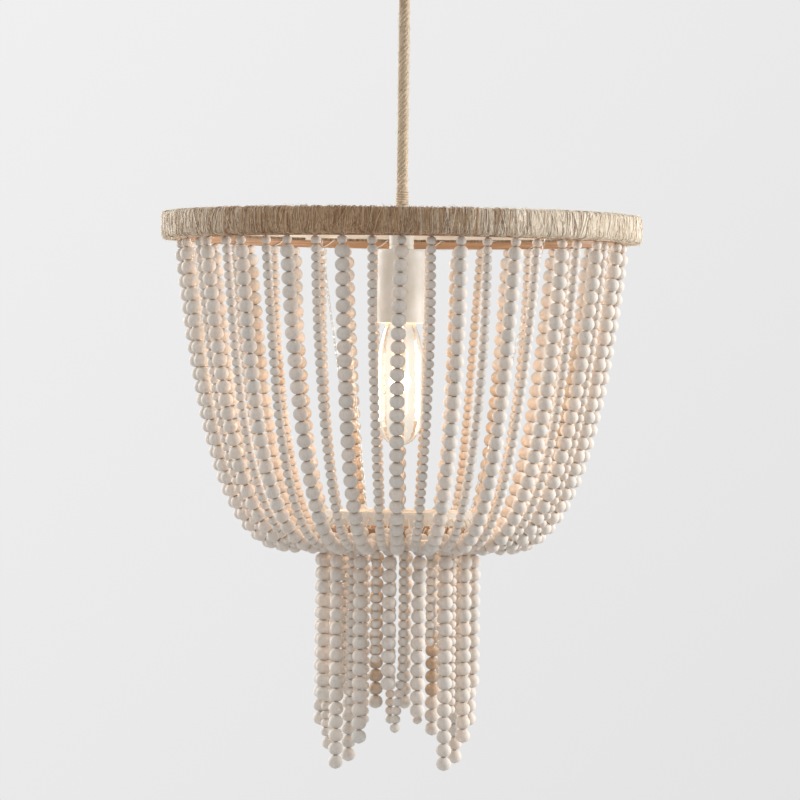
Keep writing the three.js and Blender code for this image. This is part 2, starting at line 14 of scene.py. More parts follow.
import bpy
import numpy as np
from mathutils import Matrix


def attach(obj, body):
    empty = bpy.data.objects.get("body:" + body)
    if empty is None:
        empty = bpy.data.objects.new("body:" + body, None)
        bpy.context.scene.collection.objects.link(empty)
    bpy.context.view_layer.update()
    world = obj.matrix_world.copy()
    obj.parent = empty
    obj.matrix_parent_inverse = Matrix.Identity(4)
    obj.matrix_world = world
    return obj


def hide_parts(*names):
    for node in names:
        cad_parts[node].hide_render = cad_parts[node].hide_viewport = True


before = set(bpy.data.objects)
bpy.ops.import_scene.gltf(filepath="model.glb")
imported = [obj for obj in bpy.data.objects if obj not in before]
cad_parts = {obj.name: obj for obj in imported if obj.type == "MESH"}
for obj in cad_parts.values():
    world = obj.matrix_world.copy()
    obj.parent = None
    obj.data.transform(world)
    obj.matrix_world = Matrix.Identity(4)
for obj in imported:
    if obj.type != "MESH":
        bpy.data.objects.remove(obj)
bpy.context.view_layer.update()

log = logging.getLogger("chandelier")

Array = np.ndarray
Form = tuple[Array, list[list[int]]]
Outline = Sequence[tuple[float, ...]]
Path = Callable[[Array], Array]
Random = np.random.Generator
Tree = bpy.types.NodeTree
Socket = bpy.types.NodeSocket

MM = 0.001
UP = np.array([0, 0, 1.0])


# Numbers and directions


def linear(hex_colour: str) -> tuple[float, float, float, float]:
    """Turns an sRGB hex colour into linear red, green, blue and an alpha of one.

    Args:
        hex_colour: The colour as "#rrggbb".

    Returns:
        Its linear channels and an alpha of 1.
    """
    channels = [int(hex_colour[i:i + 2], 16) / 255 for i in (1, 3, 5)]
    red, green, blue = (c / 12.92 if c <= 0.04045 else ((c + 0.055) / 1.055) ** 2.4 for c in channels)
    return red, green, blue, 1.0


def place(radius: Any, level: Any, degrees: Any) -> Array:
    """Finds points round the lamp.

    Args:
        radius: Distance from the lamp's axis.
        level: Height.
        degrees: Angle from the front towards +X.

    Returns:
        The points, with x, y and z in the last axis.
    """
    turn = np.radians(degrees)
    return np.stack(np.broadcast_arrays(radius * np.sin(turn), -radius * np.cos(turn), level), axis=-1)


def unit(vectors: Array) -> Array:
    """Scales vectors to a length of one."""
    return vectors / np.linalg.norm(vectors, axis=-1, keepdims=True)


def smooth_step(values: Any) -> Any:
    """Eases values from 0 to 1 between 0 and 1."""
    held = np.clip(values, 0, 1)
    return held * held * (3 - 2 * held)


def wander(rng: Random, at: Array, spacing: float) -> Array:
    """Makes a smooth random walk between -1 and 1.

    Args:
        rng: Source of the random knots.
        at: Where the value is wanted, from 0 up.
        spacing: Distance between two knots.

    Returns:
        One value for each place.
    """
    scaled = at / spacing
    knots = rng.uniform(-1, 1, int(np.max(scaled)) + 3)
    low = scaled.astype(int)
    share = smooth_step(scaled - low)
    return knots[low] * (1 - share) + knots[low + 1] * share


# Meshes


def rounded(outline: Outline, radius: float, steps: int = 3) -> list[tuple[float, float]]:
    """Rounds the corners of a closed outline, as a tool or a coat of paint does.

    Args:
        outline: Corners as (radius, height), with the rounding as a third number where it differs.
        radius: The usual rounding.
        steps: Straight pieces in each rounding.

    Returns:
        The rounded outline.
    """
    corners = [np.array(corner[:2], dtype=float) for corner in outline]
    result: list[Array] = []
    for i, corner in enumerate(corners):
        own = outline[i][2] if len(outline[i]) > 2 else radius
        back, ahead = corners[i - 1] - corner, corners[(i + 1) % len(corners)] - corner
        lengths = np.linalg.norm(back), np.linalg.norm(ahead)
        cut = min(own, 0.45 * lengths[0], 0.45 * lengths[1])
        if corner[0] < 1e-6 or cut < 1e-6:
            result.append(corner)
            continue
        first, last = corner + back / lengths[0] * cut, corner + ahead / lengths[1] * cut
        for t in np.linspace(0, 1, steps + 1):
            result.append(first * (1 - t) ** 2 + corner * 2 * t * (1 - t) + last * t ** 2)
    return [(float(point[0]), float(point[1])) for point in result]


def revolve(outline: Outline, segments: int) -> Form:
    """Turns a closed outline about the lamp's axis.

    Args:
        outline: Corners as (radius, height). Corners at radius 0 lie on the axis.
        segments: Flat steps in a full turn.

    Returns:
        The points and the faces, which face outwards.
    """
    corners = np.array([corner[:2] for corner in outline], dtype=float)
    ahead = np.roll(corners, -1, axis=0)
    if np.sum(corners[:, 0] * ahead[:, 1] - ahead[:, 0] * corners[:, 1]) < 0:
        corners = corners[::-1]
    degrees = np.arange(segments) * 360 / segments
    points: list[Array] = []
    rows: list[list[int]] = []
    start = 0
    for radius, level in corners:
        on_axis = radius < 1e-6
        points.append(place(np.zeros(1), level, 0.0) if on_axis else place(radius, level, degrees))
        rows.append([start] * segments if on_axis else list(range(start, start + segments)))
        start += len(points[-1])
    faces = []
    for lower, upper in zip(rows, rows[1:] + rows[:1]):
        for j in range(segments):
            k = (j + 1) % segments
            face = list(dict.fromkeys((lower[j], lower[k], upper[k], upper[j])))
            if len(face) > 2:
                faces.append(face)
    return np.concatenate(points), faces


def tube(rows: int, sides: int, closed: bool) -> list[list[int]]:
    """Joins rows of points to a tube.

    Args:
        rows: How many rows there are.
        sides: Points in each row.
        closed: Whether the last row joins the first. If not, both ends get a cap.

    Returns:
        The faces.
    """
    row, side = np.meshgrid(np.arange(rows if closed else rows - 1), np.arange(sides), indexing="ij")
    base, ahead, beside = row * sides, (row + 1) % rows * sides, (side + 1) % sides
    quads = np.stack([base + side, base + beside, ahead + beside, ahead + side], axis=-1)
    faces = quads.reshape(-1, 4).tolist()
    if not closed:
        last = (rows - 1) * sides
        faces += [list(range(sides - 1, -1, -1)), list(range(last, last + sides))]
    return faces


def circle(radius: float, sides: int) -> Array:
    """Corners of a round section, anticlockwise."""
    turn = 2 * np.pi * np.arange(sides) / sides
    return radius * np.stack([np.cos(turn), np.sin(turn)], axis=-1)


def block(height: float, width: float, edge: float) -> Array:
    """Draws a rectangular section with eased edges.

    Args:
        height: Its size in the first direction.
        width: Its size in the second one.
        edge: How far its edges are eased.

    Returns:
        Its corners, anticlockwise.
    """
    # Corners on the axis stay sharp in rounded, so the section is drawn away from it.
    away = 1e3
    corners = [(away + x * height / 2, y * width / 2) for x, y in ((-1, -1), (1, -1), (1, 1), (-1, 1))]
    return np.array(rounded(corners, edge, 2)) - (away, 0)


def sweep(path: Array, section: Array, outwards: Array, closed: bool = False, widths: Any = None) -> Form:
    """Carries a section along a path without letting it twist.

    Args:
        path: The points that it follows.
        section: Its corners, anticlockwise, in the plane across the path.
        outwards: Where the section's first axis points at the start.
        closed: Whether the path joins its own start.
        widths: A scale of the section at each point.

    Returns:
        The points and the faces. An open path has capped ends.
    """
    along = np.roll(path, -1, axis=0) - np.roll(path, 1, axis=0) if closed else np.gradient(path, axis=0)
    scale = np.ones(len(path)) if widths is None else widths
    points = np.empty((len(path), len(section), 3))
    normal = np.array(outwards, dtype=float)
    for i, tangent in enumerate(unit(along)):
        normal = unit(normal - tangent * (normal @ tangent))
        side = np.cross(tangent, normal)
        points[i] = path[i] + scale[i] * (section[:, :1] * normal + section[:, 1:] * side)
    return points.reshape(-1, 3), tube(len(path), len(section), closed)


def bar(
    span: tuple[float, float], width: float, top: float, bottom: float, degrees: float, edge: float,
) -> Form:
    """Makes a straight bar with eased edges that points away from the axis.

    Args:
        span: Where it starts and ends from the axis.
        width: Its width.
        top: Its upper face.
        bottom: Its lower face.
        degrees: Its angle round the lamp.
        edge: How far its edges are eased.

    Returns:
        The points and the faces.
    """
    reaches = np.array([span[0], span[0] + edge, span[1] - edge, span[1]])
    shrink = 1 - edge / (max(width, top - bottom) / 2)
    path = place(reaches, (top + bottom) / 2, degrees)
    return sweep(path, block(top - bottom, width, edge), UP, widths=[shrink, 1, 1, shrink])


def cut_thread(points: Array, wall: float, low: float, high: float, pitch: float, depth: float) -> None:
    """Presses a screw thread into the points of a round wall about the axis.

    Args:
        points: The points, which change in place.
        wall: The wall's radius.
        low: Where the thread starts.
        high: Where it ends.
        pitch: Height of one turn.
        depth: How deep it goes.
    """
    reach = np.hypot(points[:, 0], points[:, 1])
    on = (np.abs(reach - wall) < 0.15) & (points[:, 2] > low) & (points[:, 2] < high)
    level = points[on, 2]
    phase = level / pitch - np.arctan2(points[on, 0], -points[on, 1]) / (2 * np.pi)
    fade = np.clip(np.minimum(level - low, high - level) / pitch, 0, 1)
    cut = depth * (0.5 - 0.5 * np.cos(2 * np.pi * phase)) * fade
    points[on, :2] *= ((reach[on] - cut) / reach[on])[:, None]


def upright(start: float, end: float, wall: float, rows: int) -> list[tuple[float, ...]]:
    """Splits an upright wall of an outline into rows, so that a thread can be cut in it."""
    return [(wall, float(level), 0.0) for level in np.linspace(start, end, rows)]


# Finishes


def feed(node: bpy.types.Node, inputs: Any) -> None:
    """Sets a node's inputs.

    Args:
        node: The node.
        inputs: Values and outputs of other nodes, as a dict by the inputs' names or numbers, or as a row that
            starts at input 0.
    """
    for key, value in inputs.items() if isinstance(inputs, dict) else enumerate(inputs):
        if isinstance(value, Socket):
            node.id_data.links.new(value, node.inputs[key])
        else:
            node.inputs[key].default_value = value


def add(tree: Tree, kind: str, inputs: Any = (), out: str | int = 0, **settings: Any) -> Socket:
    """Adds a node with its settings and links.

    Args:
        tree: The node tree.
        kind: The node's type without its ShaderNode, such as "TexNoise".
        inputs: What feed takes.
        out: The name or the number of the output that is wanted.
        settings: The node's own properties.

    Returns:
        That output.
    """
    node = tree.nodes.new(f"ShaderNode{kind}")
    for name, value in settings.items():
        setattr(node, name, value)
    feed(node, inputs)
    return node.outputs[out]


def layered(tree: Tree, base: Any, *coats: tuple[Any, Any, Any]) -> Socket:
    """Lays colours over each other.

    Args:
        tree: The material's nodes.
        base: The lowest colour, as hex or an output.
        coats: For each coat the share that it covers, a factor of that share, and its colour.

    Returns:
        The output with the colour.
    """
    colour = linear(base) if isinstance(base, str) else base
    for share, factor, shade in coats:
        part = share if factor == 1 else add(tree, "Math", (share, factor), operation="MULTIPLY")
        top = linear(shade) if isinstance(shade, str) else shade
        colour = add(tree, "Mix", {0: part, 6: colour, 7: top}, 2, data_type="RGBA")
    return colour


def real_place(tree: Tree) -> Socket:
    """Gives the surface's own coordinates in millimetres."""
    where = add(tree, "TexCoord", out="Object")
    return add(tree, "VectorMath", {0: where, "Scale": 1 / MM}, operation="SCALE")


@dataclass(frozen=True)
class Pattern:
    """Noise that is held to run from 0 to 1. The stretch is in blotches a millimetre."""

    stretch: tuple[float, float, float]
    low: float
    high: float
    detail: float = 3.0

    def lay(self, tree: Tree, at: Socket) -> Socket:
        """Adds its nodes.

        Args:
            tree: The material's nodes.
            at: Coordinates in millimetres.

        Returns:
            The output with the value.
        """
        scaled = add(tree, "VectorMath", (at, self.stretch), operation="MULTIPLY")
        texture = add(tree, "TexNoise", {"Vector": scaled, "Scale": 1.0, "Detail": self.detail})
        return add(tree, "MapRange", (texture, self.low, self.high))


@dataclass(frozen=True)
class Finish:
    """A material: what the surface is made of and how it was made."""

    name: str
    slot: str
    roughness: float = 0.5
    ior: float = 1.5
    metallic: float = 0.0

    def material(self) -> bpy.types.Material:
        """Makes the material once.

        Returns:
            The material, also when it is asked for again.
        """
        known = bpy.data.materials.get(self.name)
        if known:
            return known
        material = bpy.data.materials.new(self.name)
        material.use_nodes = True
        tree = material.node_tree
        usual = {"Roughness": self.roughness, "IOR": self.ior, "Metallic": self.metallic}
        feed(tree.nodes["Principled BSDF"], usual | self.paint(tree))
        return material

    def paint(self, tree: Tree) -> dict[str, Any]:
        """Adds the nodes of this finish and says what goes into the main shader.

        Args:
            tree: The material's nodes.

        Returns:
            The inputs of the main shader.
        """
        return {}


@dataclass(frozen=True)
class LimewashedBead(Finish):
    """Hardwood beads, turned, drilled and dipped in limewash.

    The wash leaves a matt chalky white that is thinner over the hard grain and worn to bare wood round the
    drilled holes, and each bead took it a little differently.
    """

    warm_wash: str = "#eee1d5"
    grey_wash: str = "#ddd9d2"
    bare_wood: str = "#c4a684"
    rim_wood: str = "#94744f"
    pore: str = "#a68a6a"
    patch_roughness: float = 0.58

    def paint(self, tree: Tree) -> dict[str, Any]:
        """Adds the wash, the grain that shows through it, the pores, the thin stretches and the worn rims.

        Args:
            tree: The material's nodes.

        Returns:
            The inputs of the main shader.
        """
        grain = add(tree, "Attribute", out="Vector", attribute_name="bead_grain")
        tone, rim, bare = (add(tree, "Attribute", out="Fac", attribute_name=name)
                           for name in ("bead_tone", "bead_rim", "bead_bare"))
        # Grain lines lie about 0.7 mm apart and run along the bead, as in a dowel.
        lines = Pattern((1.4, 1.4, 0.12), 0.42, 0.68).lay(tree, grain)
        # The wash pools in patches of about 3 mm.
        thin = Pattern((0.32, 0.32, 0.32), 0.45, 0.7).lay(tree, grain)
        # Pores are 0.2 mm wide, drawn twice as coarse so that they show at all.
        pores = Pattern((2.6, 2.6, 0.5), 0.64, 0.74, 1.0).lay(tree, grain)
        worn = add(tree, "Math", (lines, thin), operation="MULTIPLY")
        share = add(tree, "Math", (worn, 0.5, bare), operation="MULTIPLY_ADD")
        height = add(tree, "Math", (lines, pores), operation="SUBTRACT")
        return {
            "Base Color": layered(tree, self.warm_wash, (tone, 1, self.grey_wash), (share, 1, self.bare_wood),
                                  (pores, 0.45, self.pore), (rim, 0.75, self.rim_wood)),
            "Roughness": add(tree, "MapRange", (thin, 0, 1, self.roughness, self.patch_roughness)),
            "Normal": add(tree, "Bump", {"Height": height, "Strength": 0.5, "Distance": 0.12 * MM}),
        }


@dataclass(frozen=True)
class JuteYarn(Finish):
    """Jute fibre, spun to a coarse yarn.

    Its long fibres are glossy along their length and dull across it, so the yarn looks deep tan in shade. The
    pale straw where light rakes over it is painted into its colour as painted light.
    """

    dark: str = "#7b5434"
    middle: str = "#b98b61"
    pale: str = "#e9d4b1"
    raking_light_colour: str = "#fbefdb"
    sheen_tint: str = "#fff7ea"

    def paint(self, tree: Tree) -> dict[str, Any]:
        """Adds the fibres and the changing tone of the yarn.

        Args:
            tree: The material's nodes.

        Returns:
            The inputs of the main shader.
        """
        run = add(tree, "Attribute", out="Vector", attribute_name="yarn_run")
        tone, raking_light = (add(tree, "Attribute", out="Fac", attribute_name=name)
                     for name in ("yarn_tone", "yarn_bleach"))
        # Fibres are 0.05 mm wide, drawn in bundles of 0.4 mm so that they show.
        fibres = Pattern((0.12, 2.4, 1.0), 0.32, 0.7).lay(tree, run)
        # The spinning leaves thick and thin places some 4 mm apart.
        blotch = Pattern((0.26, 0.5, 1.0), 0.4, 0.6, 1.0).lay(tree, run)
        deep, light = (layered(tree, *pair) for pair in (
            (self.dark, (fibres, 1, self.middle)), (self.middle, (fibres, 1, self.pale))))
        half = add(tree, "Math", (tone, 0.5), operation="MULTIPLY")
        share = add(tree, "Math", (blotch, 0.7, half), operation="MULTIPLY_ADD")
        # Painted light: a pale straw is laid where the lamps rake over the ring, less strongly on deep fibres
        # than on pale ones.
        painted_light_factor = add(tree, "Math", (share, 0.55, 0.45), operation="MULTIPLY_ADD")
        return {
            "Base Color": layered(tree, deep, (share, 1, light), (raking_light, painted_light_factor, self.raking_light_colour)),
            "Sheen Weight": 0.5, "Sheen Roughness": 0.4, "Sheen Tint": linear(self.sheen_tint),
            "Normal": add(tree, "Bump", {"Height": fibres, "Strength": 0.6, "Distance": 0.15 * MM}),
        }


@dataclass(frozen=True)
class StainedBentwood(Finish):
    """A thin strip of wood, steamed to a hoop, stained brown and wiped with oil.

    The grain follows the hoop, the stain is darker in the grain, and the oil leaves a low satin shine.
    """

    stain: str = "#c29a76"
    dark_stain: str = "#9c7756"
    grain_roughness: float = 0.62

    def paint(self, tree: Tree) -> dict[str, Any]:
        """Adds the grain along the hoop.

        Args:
            tree: The material's nodes.

        Returns:
            The inputs of the main shader.
        """
        along = add(tree, "Attribute", out="Vector", attribute_name="hoop_run")
        # Grain lines of the bent strip lie about 1 mm apart and run on for 60 mm, with finer ones between.
        lines = Pattern((0.016, 1.1, 1.1), 0.35, 0.68).lay(tree, along)
        fine = Pattern((0.12, 4.0, 4.0), 0.5, 0.75, 1.0).lay(tree, along)
        return {
            "Base Color": layered(tree, self.stain, (lines, 1, self.dark_stain),
                                  (fine, 0.35, self.dark_stain)),
            "Roughness": add(tree, "MapRange", (lines, 0, 1, self.roughness, self.grain_roughness)),
            "Normal": add(tree, "Bump", {"Height": fine, "Strength": 0.35, "Distance": 0.08 * MM}),
        }


@dataclass(frozen=True)
class TwoShades(Finish):
    """A finish with a second shade in patches, which may be rougher, over a fine relief."""

    colour: str = "#ffffff"
    shade: str = "#ffffff"
    patches: Pattern = Pattern((1.0, 1.0, 1.0), 0.4, 0.6)
    added_roughness: float = 0.0
    relief: Pattern | None = None
    depth: float = 0.1
    strength: float = 0.2

    def paint(self, tree: Tree) -> dict[str, Any]:
        """Adds the patches and the relief, which follows the patches where it has no pattern of its own.

        Args:
            tree: The material's nodes.

        Returns:
            The inputs of the main shader.
        """
        where = real_place(tree)
        patches = self.patches.lay(tree, where)
        height = self.relief.lay(tree, where) if self.relief else patches
        bump = {"Height": height, "Strength": self.strength, "Distance": self.depth * MM}
        inputs = {
            "Base Color": layered(tree, self.colour, (patches, 1, self.shade)),
            "Normal": add(tree, "Bump", bump),
        }
        if self.added_roughness:
            rougher = self.roughness + self.added_roughness
            inputs["Roughness"] = add(tree, "MapRange", (patches, 0, 1, self.roughness, rougher))
        return inputs


@dataclass(frozen=True)
class SprayedPaint(TwoShades):
    """Cream paint, sprayed on steel and baked.

    It has the faint orange peel of a sprayed coat, a satin shine, and a slightly duller bloom in patches.
    """

    colour: str = "#eae4da"
    shade: str = "#e1d9cc"
    # The bloom lies in patches of about 20 mm.
    patches: Pattern = Pattern((0.05, 0.05, 0.05), 0.4, 0.65)
    added_roughness: float = 0.12
    # Orange peel has cells of about 1.2 mm, only some hundredths of a millimetre high.
    relief: Pattern = Pattern((0.8, 0.8, 0.8), 0.35, 0.65, 1.0)
    depth: float = 0.03
    strength: float = 0.25


@dataclass(frozen=True)
class MouldedThermoset(TwoShades):
    """Ivory urea thermoset, pressed in a hot mould.

    It is hard and smooth with a deep soft shine, and its filler shows as the faintest mottle.
    """

    colour: str = "#e6decb"
    shade: str = "#d9ceb6"
    # Grains of filler of about 0.5 mm, which also stand out a little.
    patches: Pattern = Pattern((2.0, 2.0, 2.0), 0.45, 0.7)
    depth: float = 0.01


@dataclass(frozen=True)
class TurnedMetal(TwoShades):
    """A metal part from the lathe, lightly plated.

    Fine rings from the tool stretch its highlights, and handling left it a little duller in places.
    """

    colour: str = "#d8bd80"
    shade: str = "#b89a60"
    # Fingers dull it in places of about 4 mm.
    patches: Pattern = Pattern((0.25, 0.25, 0.25), 0.45, 0.7)
    added_roughness: float = 0.15
    # Tool marks are 0.1 mm apart, drawn at 0.4 mm so that they show.
    relief: Pattern = Pattern((0.2, 0.2, 2.5), 0.35, 0.65)
    depth: float = 0.02
    strength: float = 0.3


@dataclass(frozen=True)
class BlackGlass(TwoShades):
    """Vitrite, the black glass that insulates the button of a bulb's cap.

    It is melted in place, so it is glossy and a little uneven.
    """

    colour: str = "#15131a"
    shade: str = "#2a2730"
    # The melt froze in waves of about 2 mm.
    patches: Pattern = Pattern((0.5, 0.5, 0.5), 0.4, 0.7)
    depth: float = 0.2
    strength: float = 0.3


@dataclass(frozen=True)
class RolledBoard(TwoShades):
    """A seamless floor of painted board, rolled matt white.

    The roller leaves a fine stipple that only shows close by.
    """

    colour: str = "#e9e9e9"
    shade: str = "#e4e4e4"
    # The stipple's grains are about 3 mm wide.
    patches: Pattern = Pattern((0.3, 0.3, 0.3), 0.35, 0.65)


@dataclass(frozen=True)
class ZincPlatedSteel(Finish):
    """Pressed steel with bright zinc.

    The plating is a pale cool grey with a faint spangle, and it is matt next to chrome.
    """

    colour: str = "#cfcdc8"
    spangle: str = "#b4b4b2"
    spangle_roughness: float = 0.5

    def paint(self, tree: Tree) -> dict[str, Any]:
        """Adds the spangle of the plating.

        Args:
            tree: The material's nodes.

        Returns:
            The inputs of the main shader.
        """
        where = real_place(tree)
        # Zinc crystals of 3 to 4 mm, on steel that is uneven every 0.7 mm.
        cells = add(tree, "TexVoronoi", {"Vector": where, "Scale": 0.3}, "Color")
        tone, shine, _ = add(tree, "SeparateColor", (cells,)).node.outputs
        height = Pattern((1.5, 1.5, 1.5), 0.3, 0.7).lay(tree, where)
        return {
            "Base Color": layered(tree, self.colour, (tone, 1, self.spangle)),
            "Roughness": add(tree, "MapRange", (shine, 0, 1, self.roughness, self.spangle_roughness)),
            "Normal": add(tree, "Bump", {"Height": height, "Strength": 0.2, "Distance": 0.02 * MM}),
        }


@dataclass(frozen=True)
class CottonThread(Finish):
    """Bleached cotton thread of three plies, waxed.

    It is matt off-white, with its twist as fine slanting lines.
    """

    colour: str = "#efe8dc"
    shaded: str = "#d4c8b4"

    def paint(self, tree: Tree) -> dict[str, Any]:
        """Adds the twist.

        Args:
            tree: The material's nodes.

        Returns:
            The inputs of the main shader.
        """
        # One ply crosses the thread every 0.6 mm.
        twist = add(tree, "TexWave", {"Vector": real_place(tree), "Scale": 0.26, "Distortion": 1.0}, "Fac",
                    bands_direction="DIAGONAL")
        return {
            "Base Color": layered(tree, self.shaded, (twist, 1, self.colour)), "Sheen Weight": 0.3,
            "Normal": add(tree, "Bump", {"Height": twist, "Strength": 0.6, "Distance": 0.1 * MM}),
        }


@dataclass(frozen=True)
class BlownGlass(Finish):
    """Soda-lime glass, blown in a mould, with the lamp lit behind it.

    The wall is 1 mm thick and clear. Where the strips burn, their glow is painted on it as emission, which
    fades to the tip.
    """

    tint: str = "#fffaf2"
    glow: str = "#fff0d8"
    glow_strength: float = 0.058
    tip_strength: float = 0.01
    glow_bottom: tuple[float, float] = (-448.0, -425.0)
    glow_top: tuple[float, float] = (-352.0, -375.0)

    def paint(self, tree: Tree) -> dict[str, Any]:
        """Adds the clear wall, the glow, and a way through for the light of the strips.

        Args:
            tree: The material's nodes.

        Returns:
            The inputs of the main shader.
        """
        where = real_place(tree)
        level = add(tree, "SeparateXYZ", (where,), 2)
        # Painted glow: the glass wall itself emits beside the strips, fading towards the tip.
        rise = add(tree, "MapRange", (level, *self.glow_bottom, self.tip_strength, self.glow_strength),
                   interpolation_type="SMOOTHSTEP")
        fade = add(tree, "MapRange", (level, *self.glow_top), interpolation_type="SMOOTHSTEP")
        # Rays towards a light pass straight through the wall.
        shadow = add(tree, "LightPath", out="Is Shadow Ray")
        clear = add(tree, "BsdfTransparent", (linear(self.tint),))
        both = add(tree, "MixShader", (shadow, tree.nodes["Principled BSDF"].outputs[0], clear))
        feed(tree.nodes["Material Output"], (both,))
        # The mould leaves waves some 6 mm wide, which only bend reflections.
        waves = Pattern((0.16, 0.16, 0.05), 0.3, 0.7, 1.0).lay(tree, where)
        return {
            "Base Color": linear(self.tint), "Transmission Weight": 1.0, "Emission Color": linear(self.glow),
            "Emission Strength": add(tree, "Math", (rise, fade), operation="MULTIPLY"),
            "Normal": add(tree, "Bump", {"Height": waves, "Strength": 0.15, "Distance": 0.08 * MM}),
        }


@dataclass(frozen=True)
class GlowingPhosphor(Finish):
    """Strips of phosphor over small diodes, lit.

    The coat is yellow when dark and a warm white when lit, a little brighter over each diode.
    """

    dark: str = "#e8c26a"
    light: str = "#fff0d6"
    strength: float = 0.8

    def paint(self, tree: Tree) -> dict[str, Any]:
        """Adds the light of the strip and its diodes.

        Args:
            tree: The material's nodes.

        Returns:
            The inputs of the main shader.
        """
        # Diodes follow each other every 2 mm.
        diodes = Pattern((0.2, 0.2, 0.5), 0.3, 0.7, 1.0).lay(tree, real_place(tree))
        return {
            "Base Color": layered(tree, self.dark, (diodes, 1, self.light)),
            "Emission Color": linear(self.light),
            "Emission Strength": add(tree, "MapRange", (diodes, 0, 1, self.strength * 0.8, self.strength)),
        }


class Finishes:
    """The finishes of this lamp, each with its slot in the record. The studio's board has none."""

    bead = LimewashedBead("limewashed turned wood", "bead_wood", 0.72)
    yarn = JuteYarn("spun jute yarn", "jute", 0.6, 1.53)
    rope = JuteYarn("twisted jute rope", "jute", 0.62, 1.53, dark="#a48868", middle="#d1b898", pale="#efe2ca")
    bentwood = StainedBentwood("oiled bentwood", "brown_wood", 0.45)
    paint = SprayedPaint("sprayed cream paint", "cream_paint", 0.48)
    thermoset = MouldedThermoset("moulded urea", "holder_plastic", 0.3, 1.55)
    brass = TurnedMetal("turned brass", "brass", 0.28, metallic=1.0)
    nickel = TurnedMetal("nickelled brass cap", "brass", 0.3, metallic=1.0, colour="#cfc6b4", shade="#b5ab98")
    wire = ZincPlatedSteel("zinc-plated wire", "pale_steel", 0.35, metallic=1.0, colour="#dedbd3",
                           spangle="#c9c5bc")
    steel = ZincPlatedSteel("zinc-plated strip", "pale_steel", 0.35, metallic=1.0)
    thread = CottonThread("bleached cotton thread", "bead_wood", 0.8)
    glass = BlownGlass("blown clear glass", "bulb_glass", 0.02, 1.45)
    stem = BlownGlass("drawn glass stem", "filament_glass", 0.02, glow_strength=0.04)
    phosphor = GlowingPhosphor("lit phosphor strip", "filament_glass", 0.6)
    vitrite = BlackGlass("black vitrite", "brass", 0.15, 1.6)
    board = RolledBoard("matt white board", "", 0.9)


class Sketch:
    """Gathers one mesh: points in millimetres, faces, and values that its finish reads point by point."""

    def __init__(self) -> None:
        """Starts with nothing in it."""
        self.points: list[Array] = []
        self.faces: list[list[int]] = []
        self.values: dict[str, list[Array]] = {}
        self.count = 0

    def add(self, points: Array, faces: Any, **values: Any) -> "Sketch":
        """Adds a form.

        Args:
            points: Its points.
            faces: Its faces, whose corners count from the form's own first point.
            values: Named values, one number or vector a point, or one number for the whole form.

        Returns:
            The sketch itself.
        """
        if isinstance(faces, np.ndarray):
            self.faces += (faces + self.count).tolist()
        else:
            self.faces += [[corner + self.count for corner in face] for face in faces]
        self.points.append(points)
        self.count += len(points)
        for name, value in values.items():
            whole = np.full(len(points), value) if np.ndim(value) == 0 else value
            self.values.setdefault(name, []).append(whole)
        return self

    def turn(self, outline: Outline, rounding: float, segments: int, steps: int = 3) -> "Sketch":
        """Adds a turned form with eased corners."""
        return self.add(*revolve(rounded(outline, rounding, steps), segments))

    def build(self, name: str, finish: Finish, crease: float = 40.0) -> bpy.types.Object:
        """Makes the object.

        Args:
            name: The piece's name.
            finish: Its finish.
            crease: Edges that bend by more degrees than this stay sharp.

        Returns:
            The object, at the origin and linked to the scene.
        """
        mesh = bpy.data.meshes.new(name)
        mesh.from_pydata((np.concatenate(self.points) * MM).tolist(), [], self.faces)
        for key, chunks in self.values.items():
            data = np.concatenate(chunks).astype(np.float32)
            kind, slot = ("FLOAT", "value") if data.ndim == 1 else ("FLOAT_VECTOR", "vector")
            mesh.attributes.new(key, kind, "POINT").data.foreach_set(slot, data.ravel())
        mesh.shade_smooth()
        mesh.set_sharp_from_angle(angle=math.radians(crease))
        mesh.materials.append(finish.material())
        piece = bpy.data.objects.new(name, mesh)
        bpy.context.scene.collection.objects.link(piece)
        return piece

    def fit(
        self, name: str, finish: Finish, body: str, *nodes: str, crease: float = 40.0,
    ) -> bpy.types.Object:
        """Makes the piece and fixes it to its body.

        Args:
            name: The piece's name.
            finish: Its finish.
            body: The body that it moves with.
            nodes: The solids that it replaces.
            crease: Edges that bend by more degrees than this stay sharp.

        Returns:
            The piece.
        """
        piece = self.build(name, finish, crease)
        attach(piece, body)
        if nodes:
            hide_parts(*nodes)
        log.info("%s: %d faces on %s", name, len(piece.data.polygons), body)
        return piece


# The lamp's levels and radii, as in its solids


@dataclass(frozen=True)
class Levels:
    """Heights that several pieces share, counted down from the ceiling face."""

    canopy_bottom: float = -27.0
    cord_top: float = -31.0
    grip_bottom: float = -37.0
    hub_top: float = -236.0
    cord_bottom: float = -242.0
    ring_top: float = -243.6
    arm_top: float = -248.0
    arm_bottom: float = -254.0
    rail_band_bottom: float = -261.4
    rail_top: float = -263.6
    hub_end: float = -267.7
    ring_bottom: float = -270.6
    neck_bottom: float = -277.3
    housing_bottom: float = -347.0
    band_top: float = -525.0
    band_bottom: float = -538.0
    hoop_rail_top: float = -541.0
    hoop_rail_bottom: float = -549.2
    bowl_low: float = -558.0

    @property
    def ring_middle(self) -> float:
        """Half the height of the ring."""
        return (self.ring_top + self.ring_bottom) / 2


LEVELS = Levels()
ARM_ANGLES = (-33.75, 86.25, 206.25)
RING_INNER, RAIL_RADIUS, HOOP_RADIUS = 214.0, 207.0, 69.3
# The spider and the neck both sit on the hub's tube.
TUBE_BORE = 7.3
TASSEL_TURN = 5.0
# Either end of the cord sits in a socket with a flared mouth, and its wires go on through a narrower hole.
CORD_MOUTH, CORD_SOCKET, WIRE_HOLE, LIP_RADIUS, SOCKET_STEP = 7.4, 5.8, 3.0, 9.0, 1.8
# The rolled screw thread of bulb and holder, and the thread of the strands.
SCREW_PITCH = 3.63
THREAD = 0.6
# A loose jute fibre, drawn a little thick so that it shows.
HAIR = circle(0.11, 3)


